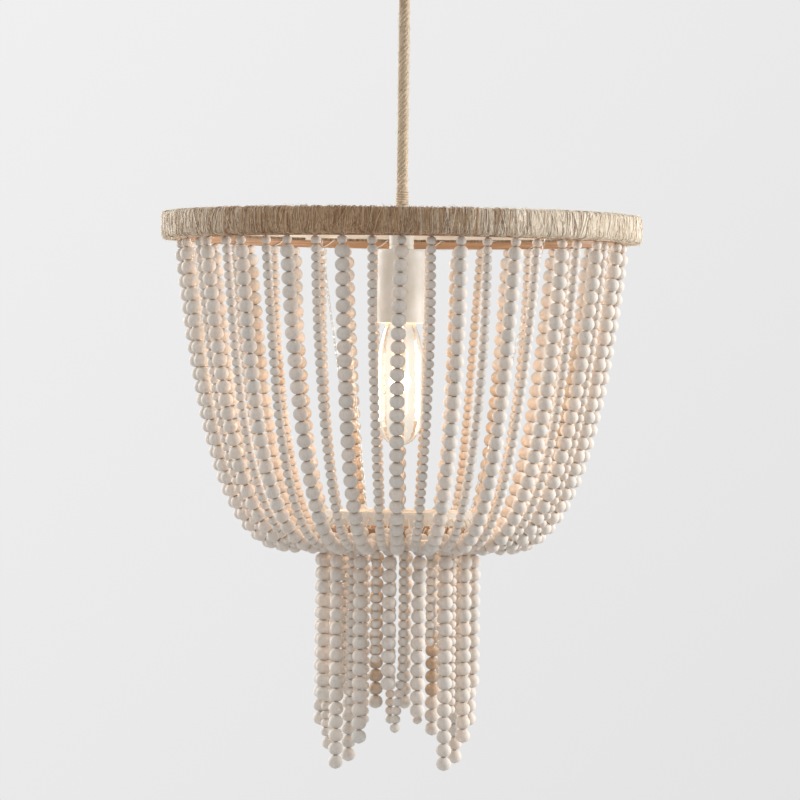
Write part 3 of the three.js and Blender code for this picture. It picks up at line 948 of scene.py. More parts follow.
@dataclass(frozen=True)
class CeilingFitting:
    """Bracket, canopy, thumb nuts and cord grip."""

    canopy_radius: float = 62.0
    flat_radius: float = 40.0
    rim_height: float = 7.0
    rim_gap: float = 0.1
    wall: float = 1.4
    hole_radius: float = 8.3
    stud_spacing: float = 60.0
    stud_radius: float = 2.0
    stud_top: float = -0.3
    nut_radius: float = 5.0
    nut_height: float = 7.0
    knurls: int = 24
    knurl_depth: float = 0.03
    flange_radius: float = 12.0
    flange_thickness: float = 2.0
    lock_nut: float = 4.0
    seat_gap: float = 0.15
    curve_steps: int = 14

    def build(self) -> bpy.types.Object:
        """Makes the pieces at the ceiling.

        Returns:
            The cord grip, which the cord ends in.
        """
        bracket = bpy.data.objects["ceiling_bracket"]
        bracket.data.materials.clear()
        bracket.data.materials.append(Finishes.steel.material())
        self.canopy()
        for side, name in ((-1, "left"), (1, "right")):
            self.nut(side, name)
        return self.grip()

    def canopy(self) -> None:
        """Spins the canopy, with a rolled rim."""
        turn = np.linspace(0, np.pi / 2, self.curve_steps)
        rise, reach = -LEVELS.canopy_bottom - self.rim_height, self.canopy_radius - self.flat_radius
        outer, inner = (
            [(self.flat_radius + (reach - wall) * math.cos(t),
              -self.rim_height - (rise - wall) * math.sin(t), 0) for t in turn]
            for wall in (0, self.wall)
        )
        outline = [
            (self.canopy_radius, -self.rim_gap), *outer, (self.hole_radius, LEVELS.canopy_bottom),
            (self.hole_radius, LEVELS.canopy_bottom + self.wall), *reversed(inner),
            (self.canopy_radius - self.wall, -self.rim_gap),
        ]
        Sketch().turn(outline, 0.35, 128).fit("spun_canopy", Finishes.paint, "ceiling_fitting", "canopy")

    def nut(self, side: int, name: str) -> None:
        """Turns a knurled thumb nut with its stud.

        Args:
            side: -1 for the left one and 1 for the right one.
            name: Its side as a word.
        """
        top = LEVELS.canopy_bottom - self.seat_gap
        bottom = top - self.nut_height
        outline = [
            (0, self.stud_top), (self.stud_radius, self.stud_top), (self.stud_radius, top),
            (self.nut_radius - 0.8, top), *upright(top - 1.2, bottom + 1.4, self.nut_radius, 5),
            (self.nut_radius - 1.2, bottom + 0.3), (0, bottom),
        ]
        points, faces = revolve(rounded(outline, 0.3), 96)
        on = np.hypot(points[:, 0], points[:, 1]) > self.nut_radius - 0.3
        turn = np.arctan2(points[:, 1], points[:, 0])
        points[on, :2] *= (1 - self.knurl_depth * (0.5 - 0.5 * np.cos(self.knurls * turn[on])))[:, None]
        points[:, 0] += side * self.stud_spacing / 2
        nut = Sketch().add(points, faces)
        nut.fit(f"thumb_nut_{name}", Finishes.brass, "ceiling_fitting", f"canopy_nut_{name}")

    def grip(self) -> bpy.types.Object:
        """Turns the bushing that holds the cord: socket, wire hole, lock nut, flange and flared mouth.

        Returns:
            The cord grip.
        """
        lock = LEVELS.canopy_bottom + self.wall + self.seat_gap
        lock_top = lock + self.lock_nut
        flange = LEVELS.canopy_bottom - self.seat_gap
        flange_bottom = flange - self.flange_thickness
        step = LEVELS.cord_top + SOCKET_STEP
        neck = self.hole_radius - 0.3
        outline = [
            (CORD_MOUTH, LEVELS.grip_bottom), (CORD_SOCKET, LEVELS.cord_top), (CORD_SOCKET, step),
            (WIRE_HOLE, step), (WIRE_HOLE, lock_top), (self.flange_radius, lock_top),
            (self.flange_radius, lock), (neck, lock), (neck, flange), (self.flange_radius, flange),
            (self.flange_radius, flange_bottom), (9.6, flange_bottom - 0.6), (LIP_RADIUS, LEVELS.grip_bottom),
        ]
        grip = Sketch().turn(outline, 0.5, 64)
        return grip.fit("flared_cord_grip", Finishes.paint, "ceiling_fitting", "cord_grip")


@dataclass(frozen=True)
class PendantRope:
    """The cable in its twisted jute cover, whipped with twine above the hub."""

    radius: float = 5.5
    strands: int = 8
    strand_radius: float = 1.55
    lay: float = 38.0
    hairiness: float = 0.02
    rings: int = 130
    sides: int = 64
    whipping_top: float = -221.0
    whipping_turns: int = 6
    whipping_steps: int = 24
    twine: float = 2.3
    hairs: int = 150
    seed: int = 11

    def build(self, grip: bpy.types.Object) -> None:
        """Args:
            grip: The fitting that its far end goes into. Not used.
        """
        rope = self.rope()
        extras = [self.whipping(), self.fuzz()]
        path = [(0, 0, z * MM) for z in np.linspace(LEVELS.cord_bottom, LEVELS.cord_top, self.rings)]

    def rope(self) -> bpy.types.Object:
        """Lays the strands round the cable.

        Returns:
            The rope.
        """
        rng = np.random.default_rng(self.seed)
        levels = np.linspace(LEVELS.cord_bottom, LEVELS.cord_top, self.rings)
        turn = 2 * np.pi * np.arange(self.sides) / self.sides
        axis, part = self.radius - self.strand_radius, 2 * np.pi / self.strands
        within = (turn[None, :] - 2 * np.pi * levels[:, None] / self.lay) / part
        index = np.floor(within)
        off = (within - index - 0.5) * part
        strand = np.mod(index, self.strands)
        swell = np.sqrt(np.maximum(self.strand_radius ** 2 - (axis * np.sin(off)) ** 2, 0))
        reach = (axis * np.cos(off) + swell) * (1 - self.hairiness * rng.random(off.shape))
        points = np.stack(
            np.broadcast_arrays(reach * np.cos(turn), reach * np.sin(turn), levels[:, None]), axis=-1)
        tones = rng.uniform(0.25, 0.8, self.strands)
        # Each strand reads its own part of the fibres' pattern, 7 mm from the next.
        run = np.stack([np.broadcast_to(levels[:, None], reach.shape), off * axis * 2, strand * 7.0], axis=-1)
        slow = wander(rng, levels - levels[0], 9.0)[:, None]
        tone = np.clip(tones[strand.astype(int)] + 0.2 * slow, 0, 1).ravel()
        sketch = Sketch().add(points.reshape(-1, 3), tube(self.rings, self.sides, False),
                              yarn_run=run.reshape(-1, 3), yarn_tone=tone)
        return sketch.fit("twisted_jute_rope", Finishes.rope, "cord", "pendant_cord")

    def whipping(self) -> bpy.types.Object:
        """Winds the twine that binds the rope's lower end.

        Returns:
            The whipping.
        """
        rng = np.random.default_rng(self.seed + 1)
        turns = np.arange(self.whipping_turns * self.whipping_steps + 1) / self.whipping_steps
        levels = self.whipping_top - self.twine / 2 - turns * self.twine
        wobble = 0.12 * wander(rng, turns * 4, 1.0)
        section = circle(self.twine / 2, 8)
        points, faces = sweep(
            place(self.radius - 0.35 + wobble, levels, turns * 360), section, np.array([0, -1.0, 0]))
        along = np.repeat(turns * 2 * np.pi * self.radius, len(section))
        # The twine's eight sides lie 0.9 mm apart, and its fibres slant by 0.6 of their length.
        across = np.tile(np.arange(len(section)) * 0.9, len(turns)) + along * 0.6
        run = np.stack([along, across, np.zeros_like(along)], axis=-1)
        twine = Sketch().add(points, faces, yarn_run=run, yarn_tone=0.45)
        return twine.fit("rope_whipping", Finishes.rope, "cord")

    def fuzz(self) -> bpy.types.Object:
        """Lets loose fibres stand off the rope, by 2 mm at the most.

        Returns:
            The fibres.
        """
        rng = np.random.default_rng(self.seed + 2)
        sketch = Sketch()
        t = np.linspace(0, 1, 4)
        for _ in range(self.hairs):
            level = rng.uniform(LEVELS.hub_top + 14, LEVELS.grip_bottom - 6)
            angle, climb, spread = rng.uniform(0, 360), rng.uniform(-4, 4), rng.uniform(-70, 70)
            path = place(self.radius - 0.5 + rng.uniform(0.8, 2.2) * np.sin(t * 2.2), level + climb * t,
                         angle + spread * t)
            points, faces = sweep(path, HAIR, UP)
            sketch.add(points, faces, yarn_run=np.zeros((len(points), 3)), yarn_tone=rng.uniform(0.5, 1))
        return sketch.fit("rope_fuzz", Finishes.rope, "cord")


@dataclass(frozen=True)
class JuteRing:
    """The top ring: a hoop wound with jute yarn, turn beside turn."""

    outer: float = 228.6
    corner: float = 4.0
    inner_corner: float = 2.5
    core_sink: float = 1.9
    yarn_sink: float = 1.75
    stray_sink: float = 0.75
    yarn: float = 1.5
    flatness: float = 0.5
    turns: int = 1060
    sides: int = 5
    strays: int = 1300
    stray_lengths: tuple[float, float] = (5.0, 15.0)
    stray_steps: int = 9
    hairs: int = 420
    # Shares of painted light round the ring: pale straw where the lamps rake over its sides, and a little
    # darker at the front.
    painted_light_angles: tuple[float, ...] = (-180, -115, -72, -50, -32, 2, 12, 24, 38, 60, 115, 150, 180)
    painted_light_shares: tuple[float, ...] = (0.3, 1.1, 1.2, 0.5, -0.1, -0.1, 0.28, 0.95, 1.3, 1.4, 1.3, 0.4, 0.3)
    painted_light_spread: float = 11.0
    lean_height: float = 13.5
    seed: int = 23

    def build(self) -> None:
        """Makes the winding, the core, the turns that lie over it, and loose fibres."""
        self.winding()
        points, faces = revolve(self.loop(self.core_sink).tolist(), 192)
        core = Sketch().add(points, faces, yarn_run=points, yarn_tone=0.05)
        core.fit("ring_core_hoop", Finishes.yarn, "lamp")
        self.stray_turns()
        self.fuzz()

    def loop(self, sink: float) -> Array:
        """Finds the yarn's way round the hoop's section.

        Args:
            sink: How far its middle lies under the ring's surface.

        Returns:
            Points of (radius, height), anticlockwise from the inner lower corner.
        """
        low, high = LEVELS.ring_bottom + sink, LEVELS.ring_top - sink
        inner, outer = RING_INNER + sink, self.outer - sink
        middle = (low + high) / 2
        corners = [
            (inner, low, self.inner_corner), (outer, low, self.corner), (outer, middle, 0.0),
            (outer, high, self.corner), (inner, high, self.inner_corner), (inner, middle, 0.0),
        ]
        return np.array(rounded(corners, self.corner, 3))

    def bleach(self, points: Array, shift: Any = 0.0) -> Array:
        """Says how much painted light, pale straw where the lamps rake over the ring, lies on the yarn at
        each point.

        Args:
            points: The points.
            shift: How many degrees away each is read, so that single yarns differ.

        Returns:
            A share for each point.
        """
        degrees = np.degrees(np.arctan2(points[:, 0], -points[:, 1])) + shift
        return np.interp(degrees, self.painted_light_angles, self.painted_light_shares)

    def winding(self) -> None:
        """Winds the yarn round the hoop in one length, a little unevenly."""
        rng = np.random.default_rng(self.seed)
        loop = self.loop(self.yarn_sink)
        steps = len(loop)
        count = self.turns * steps
        turn = np.arange(count) / steps
        section = np.tile(loop, (self.turns, 1))
        ahead = np.roll(loop, -1, axis=0) - np.roll(loop, 1, axis=0)
        out = np.tile(unit(np.stack([ahead[:, 1], -ahead[:, 0]], axis=-1)), (self.turns, 1))
        # Spacings of the unevenness are in turns of yarn, its sizes in millimetres.
        slant = 1.2 * wander(rng, turn, 2.3) + 0.7 * wander(rng, turn, 0.9)
        lean = slant * (section[:, 1] - LEVELS.ring_middle) / self.lean_height
        shift = 0.28 * wander(rng, turn, 0.3)
        rise = 0.26 * wander(rng, turn, 0.35)
        thick = self.yarn / 2 * (1 + 0.22 * wander(rng, turn, 0.8))
        degrees = 360 * turn / self.turns + np.degrees((lean + shift) / section[:, 0])
        side = 2 * np.pi * np.arange(self.sides) / self.sides
        proud = rise[:, None] + self.flatness * thick[:, None] * np.cos(side)
        across = thick[:, None] * np.sin(side)
        points = place(section[:, :1] + out[:, :1] * proud, section[:, 1:] + out[:, 1:] * proud,
                       degrees[:, None] + np.degrees(across / section[:, :1])).reshape(-1, 3)
        length = np.cumsum(np.linalg.norm(np.roll(loop, -1, axis=0) - loop, axis=1))
        along = (turn.astype(int) * length[-1] + np.tile(length, self.turns))[:, None]
        twist = along * 0.5 + side * self.yarn / 2
        run = np.stack(np.broadcast_arrays(along, twist, 0.0), axis=-1).reshape(-1, 3)
        tone = np.clip(0.42 + 0.34 * wander(rng, turn, 0.7) + 0.2 * wander(rng, turn, 13), 0, 1)
        # Painted light: each turn reads the raking light's pale straw from a little further round than its
        # neighbour.
        light_offset = 1.6 * self.painted_light_spread * wander(rng, turn, 0.9)
        sketch = Sketch().add(points, tube(count, self.sides, True), yarn_run=run,
                              yarn_tone=np.repeat(tone, self.sides),
                              yarn_bleach=self.bleach(points, np.repeat(light_offset, self.sides)))
        sketch.fit("ring_jute_winding", Finishes.yarn, "lamp", "top_ring", crease=180)

    def stray_turns(self) -> None:
        """Lays thinner turns across the winding, which lean this way and that."""
        rng = np.random.default_rng(self.seed + 1)
        outer_side = self.loop(self.stray_sink)[3:-4]
        lengths = np.concatenate([[0], np.cumsum(np.linalg.norm(np.diff(outer_side, axis=0), axis=1))])
        share = np.linspace(-1, 1, self.stray_steps)
        sketch = Sketch()
        # A quarter of them cross the whole side, and all are deeper or paler than the yarn under them.
        for _ in range(self.strays):
            start, lean, bow = rng.uniform(0, 360), rng.normal(0, 3.0), rng.normal(0, 0.9)
            length = lengths[-1] if rng.random() < 0.25 else rng.uniform(*self.stray_lengths)
            at = rng.uniform(0, lengths[-1] - length) + length * (share + 1) / 2
            radius, level = (np.interp(at, lengths, outer_side[:, k]) for k in (0, 1))
            height = (level - LEVELS.ring_middle) / self.lean_height
            shift = lean * height + bow * (1 - height ** 2)
            path = place(radius - 0.8 * share ** 6, level, start + np.degrees(shift / self.outer))
            points, faces = sweep(path, circle(rng.uniform(0.28, 0.5), 4), UP)
            along = np.repeat(np.linspace(0, length, len(path)), 4) + rng.uniform(0, 900)
            across = np.tile(np.arange(4) * 0.6, len(path)) + along * 0.4
            run = np.stack([along, across, np.zeros_like(along)], axis=-1)
            tone = rng.uniform(-1.2, -0.2) if rng.random() < 0.45 else rng.uniform(0.9, 1.8)
            # Each stray turn takes the painted light of the ring where it lies.
            sketch.add(points, faces, yarn_run=run, yarn_tone=tone,
                       yarn_bleach=self.bleach(points, rng.normal(0, self.painted_light_spread)))
        sketch.fit("ring_stray_turns", Finishes.yarn, "lamp", crease=180)

    def fuzz(self) -> None:
        """Lets loose fibres stand off the ring's edges."""
        rng = np.random.default_rng(self.seed + 2)
        sketch = Sketch()
        t = np.linspace(0, 1, 4)
        for _ in range(self.hairs):
            angle = rng.uniform(0, 360)
            edge, up = (LEVELS.ring_top, 1) if rng.random() < 0.6 else (LEVELS.ring_bottom, -1)
            proud = up * rng.uniform(0.6, 2.4)
            radius = rng.uniform(self.outer - 5, self.outer - 1.2)
            level = edge - up * 1.2 + proud * np.sin(2.4 * t)
            path = place(radius + rng.uniform(-1, 1) * t, level, angle + rng.uniform(-1.6, 1.6) * t)
            points, faces = sweep(path, HAIR, UP)
            # The fibres take the painted light of the ring where they stand.
            sketch.add(points, faces, yarn_run=np.zeros((len(points), 3)), yarn_tone=rng.uniform(0.5, 1),
                       yarn_bleach=self.bleach(points))
        sketch.fit("ring_fuzz", Finishes.yarn, "lamp", crease=180)


@dataclass(frozen=True)
class BandAndRail:
    """A cream band over a brown bentwood rail, both bent to hoops, with lugs that join the two."""

    name: str
    rail_name: str
    radius: float
    band: tuple[float, float]
    rail: tuple[float, float]
    lug_width: float
    lug_angles: tuple[float, ...]
    band_nodes: tuple[str, ...] = ()
    rail_nodes: tuple[str, ...] = ()
    band_thickness: float = 2.0
    rail_thickness: float = 3.0

    def build(self) -> None:
        """Bends both strips and sets the lugs between them."""
        band = Sketch().turn(self.strip(self.band, self.band_thickness), 0.7, 192)
        inner = self.radius - self.band_thickness / 2
        for degrees in self.lug_angles:
            span = inner + 0.1, inner + self.band_thickness - 0.1
            band.add(*bar(span, self.lug_width, self.band[1] + 1, self.rail[0] - 1, degrees, 0.4))
        band.fit(self.name, Finishes.paint, "lamp", *self.band_nodes)
        points, faces = revolve(rounded(self.strip(self.rail, self.rail_thickness), 0.7), 192)
        out = np.hypot(points[:, 0], points[:, 1])
        run = np.stack([np.arctan2(points[:, 0], -points[:, 1]) * self.radius, points[:, 2], out], axis=-1)
        rail = Sketch().add(points, faces, hoop_run=run)
        rail.fit(self.rail_name, Finishes.bentwood, "lamp", *self.rail_nodes)

    def strip(self, span: tuple[float, float], thickness: float) -> Outline:
        """Gives the section of a strip whose upper and lower edges are in span."""
        inner, outer = self.radius - thickness / 2, self.radius + thickness / 2
        return [(inner, span[1]), (outer, span[1]), (outer, span[0]), (inner, span[0])]


@dataclass(frozen=True)
class UpperFrame:
    """Hub, spider, and the bead rail under its band."""

    boss_radius: float = 20.0
    arm_width: float = 8.0
    edge: float = 0.8
    flange_radius: float = 17.0
    flange_thickness: float = 3.0
    collar_radius: float = 12.0

    def build(self) -> None:
        """Makes the frame that hangs from the cord and carries the ring."""
        self.hub()
        self.spider()
        BandAndRail(
            "upper_band", "bentwood_bead_rail", RAIL_RADIUS,
            (LEVELS.arm_bottom - 0.3, LEVELS.rail_band_bottom), (LEVELS.rail_top, LEVELS.ring_bottom),
            self.arm_width, ARM_ANGLES, rail_nodes=("bead_rail",),
        ).build()

    def hub(self) -> None:
        """Turns the flanged tube that the cord ends in."""
        flange, step = LEVELS.arm_top + 0.1, LEVELS.cord_bottom - SOCKET_STEP
        flange_top, tube_radius = flange + self.flange_thickness, TUBE_BORE - 0.3
        outline = [
            (CORD_MOUTH, LEVELS.hub_top), (CORD_SOCKET, LEVELS.cord_bottom), (CORD_SOCKET, step),
            (WIRE_HOLE, step), (WIRE_HOLE, LEVELS.hub_end), (tube_radius, LEVELS.hub_end),
            (tube_radius, flange), (self.flange_radius, flange), (self.flange_radius, flange_top),
            (self.collar_radius, flange_top, 1.2), (self.collar_radius, LEVELS.hub_top - 1.6),
            (LIP_RADIUS, LEVELS.hub_top),
        ]
        Sketch().turn(outline, 0.5, 72).fit("flared_hub", Finishes.paint, "lamp", "hub")

    def spider(self) -> None:
        """Makes the boss and its three arms."""
        boss = [
            (TUBE_BORE, LEVELS.arm_bottom), (self.boss_radius, LEVELS.arm_bottom),
            (self.boss_radius, LEVELS.arm_top), (TUBE_BORE, LEVELS.arm_top),
        ]
        sketch = Sketch().turn(boss, self.edge, 72)
        # The arms start inside the boss, end inside the ring's yarn and are a hair thinner than the boss.
        for degrees in ARM_ANGLES:
            sketch.add(*bar((self.boss_radius - 2, RING_INNER + 0.6), self.arm_width,
                            LEVELS.arm_top - 0.05, LEVELS.arm_bottom + 0.05, degrees, self.edge))
        sketch.fit("three_arm_spider", Finishes.paint, "lamp", "spider")


@dataclass(frozen=True)
class LampHolder:
    """Neck, housing, insulator and its brass screw shell."""

    neck_radius: float = 11.6
    nipple_radius: float = 4.7
    nipple_length: float = 10.0
    housing_radius: float = 22.3
    housing_wall: float = 1.2
    wire_entry: float = 5.0
    holder_bottom: float = -343.0
    holder_top: float = -281.3
    bore_radius: float = 14.0
    bore_top: float = -313.0
    shell_sheet: float = 0.45
    shell_thread: float = 0.3

    def build(self) -> None:
        """Makes the pieces between the spider and the bulb."""
        for make in (self.neck, self.housing, self.insulator, self.shell):
            make()

    def neck(self) -> None:
        """Turns the tube between spider and housing, with a groove near its foot and its nipple."""
        top, bottom = LEVELS.arm_bottom - 0.1, LEVELS.neck_bottom
        seat, nipple = LEVELS.hub_end - 0.3, bottom - self.nipple_length
        outline = [
            (TUBE_BORE, top), (TUBE_BORE, seat), (WIRE_HOLE, seat), (WIRE_HOLE, nipple),
            (self.nipple_radius, nipple), (self.nipple_radius, bottom), (self.neck_radius, bottom),
            (self.neck_radius, bottom + 3), (self.neck_radius - 0.5, bottom + 3.4),
            (self.neck_radius - 0.5, bottom + 3.9), (self.neck_radius, bottom + 4.3), (self.neck_radius, top),
        ]
        Sketch().turn(outline, 0.4, 72).fit("turned_socket_neck", Finishes.paint, "lamp", "socket_neck")

    def housing(self) -> None:
        """Draws the cup over the holder, with a rolled lip."""
        top, bottom = LEVELS.neck_bottom - 0.1, LEVELS.housing_bottom
        inner = self.housing_radius - self.housing_wall
        outline = [
            (self.wire_entry, top - self.housing_wall), (inner, top - self.housing_wall, 2.2),
            (inner, bottom, 0.4), (self.housing_radius, bottom, 0.5), (self.housing_radius, top, 3.0),
            (self.wire_entry, top),
        ]
        sketch = Sketch().turn(outline, 0.3, 128, 6)
        sketch.fit("drawn_socket_housing", Finishes.paint, "lamp", "socket_housing")

    def insulator(self) -> None:
        """Moulds the insulator with its bore."""
        outer = self.housing_radius - self.housing_wall - 0.3
        outline = [
            (self.wire_entry, self.holder_top), (self.wire_entry, self.bore_top),
            (self.bore_radius, self.bore_top), (self.bore_radius, self.holder_bottom),
            (outer, self.holder_bottom), (outer, self.holder_top),
        ]
        Sketch().turn(outline, 0.6, 96).fit("moulded_insulator", Finishes.thermoset, "lamp", "lamp_holder")

    def shell(self) -> None:
        """Presses the threaded shell inside the bore."""
        wall, low, high = self.bore_radius - 0.1, self.holder_bottom + 3, self.bore_top - 1
        inner = wall - self.shell_sheet
        points, faces = revolve([*upright(high, low, inner, 60), *upright(low, high, wall, 60)], 72)
        cut_thread(points, inner, low, high, SCREW_PITCH, self.shell_thread)
        Sketch().add(points, faces).fit("threaded_holder_shell", Finishes.brass, "lamp")


@dataclass(frozen=True)
class Bulb:
    """A tubular bulb: cap, glass, stem and glowing strips, with the light that they give."""

    cap_radius: float = 13.0
    cap_wall: float = 0.9
    cap_thread: float = 0.7
    cap_top: float = -317.0
    cap_mouth: float = -342.0
    cap_flat: float = 9.0
    button_radius: float = 4.8
    glass_top: float = -326.0
    glass_radius: float = 21.3
    glass_neck: float = 11.3
    neck_end: float = -341.5
    shoulder: tuple[tuple[float, float], ...] = (
        (15.0, -350.0), (18.9, -362.0), (21.0, -374.0), (21.3, -384.0))
    tip_start: float = -439.0
    tip_drop: float = 24.6
    wall: float = 0.9
    flare_radius: float = 9.6
    rod_radius: float = 2.4
    rod_tip: float = 0.9
    strips: int = 3
    strip_size: tuple[float, float] = (1.0, 2.2)
    strip_reach: float = 8.0
    wire_radius: float = 0.3
    wire_start: float = 0.6
    strip_top: float = -372.0
    strip_bottom: float = -434.0
    light_power: float = 0.48
    light_colour: str = "#ffd8b4"
    light_radius: float = 12.0

    def build(self) -> None:
        """Makes the bulb's pieces and its light."""
        for make in (self.cap, self.contact, self.glass, self.stem, self.filament, self.light):
            make()

    def cap(self) -> None:
        """Presses the screw cap."""
        rim, inner, rise = self.cap_top - 2, self.cap_radius - self.cap_wall, self.cap_wall
        outline = [
            (self.cap_flat, self.cap_top, 0.5), (self.cap_radius, rim, 0.8),
            *upright(rim - 1.2, self.cap_mouth + 0.6, self.cap_radius, 60),
            (self.cap_radius, self.cap_mouth, 0.2), (inner, self.cap_mouth, 0.2), (inner, rim - rise, 0.5),
            (self.cap_flat, self.cap_top - rise, 0.2),
        ]
        points, faces = revolve(rounded(outline, 0.0), 72)
        cut_thread(points, self.cap_radius, self.cap_mouth + 3, rim - 1, SCREW_PITCH, self.cap_thread)
        Sketch().add(points, faces).fit("screw_cap", Finishes.nickel, "bulb", "bulb_cap")

    def contact(self) -> None:
        """Pours the black glass on the cap, and adds the contact button with its blob of solder."""
        top, inside, button = self.cap_top, self.cap_flat - 0.2, self.button_radius
        glass = [
            (0, top - 0.6), (inside, top - 0.6), (inside, top + 0.1, 0.4), (button + 0.4, top + 1.1, 0.6),
            (0, top + 1.1),
        ]
        solder = [
            (0, top + 0.9), (button, top + 0.9), (button, top + 1.3, 0.4), (button / 2, top + 1.7, 0.8),
            (0, top + 2),
        ]
        Sketch().turn(glass, 0.4, 64).fit("cap_insulator", Finishes.vitrite, "bulb")
        Sketch().turn(solder, 0.3, 48).fit("cap_button", Finishes.brass, "bulb")

    def outline(self, inset: float) -> list[tuple[float, float]]:
        """Finds the glass's outline.

        Args:
            inset: How far inside the outer face.

        Returns:
            Points of (radius, height) from the neck down to the tip.
        """
        neck = [(self.glass_neck, self.glass_top), (self.glass_neck, self.neck_end)]
        knots = np.array([*neck, *self.shoulder]) - (inset, 0)
        at = np.concatenate([[0], np.cumsum(np.linalg.norm(np.diff(knots, axis=0), axis=1))])
        tangent = np.gradient(knots, at, axis=0)
        tangent[0] = tangent[1] = tangent[-1] = (0, -1)
        result = [knots[0]]
        for i in range(len(knots) - 1):
            span = at[i + 1] - at[i]
            for t in np.linspace(0, 1, 7)[1:]:
                result.append(
                    (2 * t ** 3 - 3 * t ** 2 + 1) * knots[i] + (t ** 3 - 2 * t ** 2 + t) * span * tangent[i]
                    + (3 * t ** 2 - 2 * t ** 3) * knots[i + 1] + (t ** 3 - t ** 2) * span * tangent[i + 1])
        for turn in np.linspace(0, np.pi / 2, 16):
            reach = (self.glass_radius - inset) * math.cos(turn)
            drop = (self.tip_drop - inset) * math.sin(turn)
            result.append((reach if reach > 1e-4 else 0.0, self.tip_start - drop))
        return [(float(point[0]), float(point[1])) for point in result]

    def glass(self) -> None:
        """Blows the envelope, with its real wall."""
        sketch = Sketch().add(*revolve([*self.outline(0), *reversed(self.outline(self.wall))], 96))
        sketch.fit("blown_envelope", Finishes.glass, "bulb", "bulb_glass", crease=60)

    def stem(self) -> None:
        """Draws the glass flare and rod that carry the strips."""
        foot, rod, tip = self.strip_bottom - 4, self.rod_radius, self.rod_tip
        outline = [
            (0, self.glass_top), (self.flare_radius, self.glass_top),
            (self.flare_radius, self.glass_top - 1.6), (4.5, -334, 4), (rod, -348, 4),
            (rod, self.strip_top + 6, 2), (tip, self.strip_top + 1, 1), (tip, foot), (0, foot),
        ]
        Sketch().turn(outline, 0.4, 48, 5).fit("stem_glass", Finishes.stem, "bulb", "bulb_filament")

    def filament(self) -> None:
        """Makes the glowing strips, and bends the wires between them and the stem."""
        strips, wires = Sketch(), Sketch()
        levels = np.linspace(self.strip_bottom + 1.5, self.strip_top - 1.5, 12)
        t = np.linspace(0, 1, 10)
        reach = self.wire_start + (self.strip_reach - self.wire_start) * smooth_step(t)
        section = block(*self.strip_size, 0.3)
        for i in range(self.strips):
            degrees = i * 360 / self.strips
            path = place(self.strip_reach, levels, degrees)
            strips.add(*sweep(path, section, place(1.0, 0.0, degrees)))
            # Each wire leaves the stem beyond the strip and ends 2.5 mm inside it.
            for end, bend in ((self.strip_top, 4.0), (self.strip_bottom, -3.0)):
                start = end + bend
                level = start + (end - math.copysign(2.5, bend) - start) * t
                wires.add(*sweep(place(reach, level, degrees), circle(self.wire_radius, 8), UP))
        strips.fit("glowing_strips", Finishes.phosphor, "bulb")
        wires.fit("support_wires", Finishes.wire, "bulb")

    def light(self) -> None:
        """Adds the light of the strips, which moves with the bulb."""
        lamp = bpy.data.lights.new("bulb_light", "POINT")
        lamp.energy = self.light_power
        lamp.color = linear(self.light_colour)[:3]
        lamp.shadow_soft_size = self.light_radius * MM
        glow = bpy.data.objects.new("bulb_light", lamp)
        glow.location = (0, 0, (self.strip_top + self.strip_bottom) / 2 * MM)
        bpy.context.scene.collection.objects.link(glow)
        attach(glow, "bulb")


@dataclass(frozen=True)
class LowerHoop:
    """The lower band and rail, and the three chains that carry them."""

    lugs: int = 4
    lug_first: float = TASSEL_TURN + 5.625
    chain_top_radius: float = 139.0
    link_length: float = 5.0
    link_width: float = 2.6
    wire: float = 0.62

    def build(self) -> None:
        """Makes the hoop and its chains."""
        BandAndRail(
            "lower_band", "lower_bentwood_rail", HOOP_RADIUS, (LEVELS.band_top, LEVELS.band_bottom),
            (LEVELS.hoop_rail_top, LEVELS.hoop_rail_bottom), 4,
            tuple(self.lug_first + i * 360 / self.lugs for i in range(self.lugs)), band_nodes=("lower_hoop",),
        ).build()
        for i, degrees in enumerate(ARM_ANGLES):
            self.chain(i + 1, degrees)

    def chain(self, number: int, degrees: float) -> None:
        """Links a chain from an arm down to the band.

        Args:
            number: The chain's number.
            degrees: Its angle round the lamp.
        """
        top = place(self.chain_top_radius, LEVELS.arm_bottom - 0.2, degrees)
        fall = place(HOOP_RADIUS, LEVELS.band_top + 0.2, degrees) - top
        count = round(np.linalg.norm(fall) / (self.link_length - 2 * self.wire))
        step, down = fall / count, unit(fall)
        side = unit(np.cross(down, place(1.0, 0.0, degrees)))
        half, straight = (self.link_width - self.wire) / 2, (self.link_length - self.link_width) / 2
        turn = np.linspace(-np.pi / 2, np.pi / 2, 6)
        arc = np.stack([half * np.sin(turn), straight + half * np.cos(turn)], axis=-1)
        ring = np.concatenate([arc, -arc])
        sketch = Sketch()
        for i in range(count):
            flat = side if i % 2 else np.cross(down, side)
            path = top + step * (i + 0.5) + ring[:, :1] * flat + ring[:, 1:] * down
            sketch.add(*sweep(path, circle(self.wire / 2, 6), np.cross(flat, down), closed=True))
        sketch.fit(f"chain_links_{number}", Finishes.wire, "lamp", f"hoop_chain_{number}")


# Beads


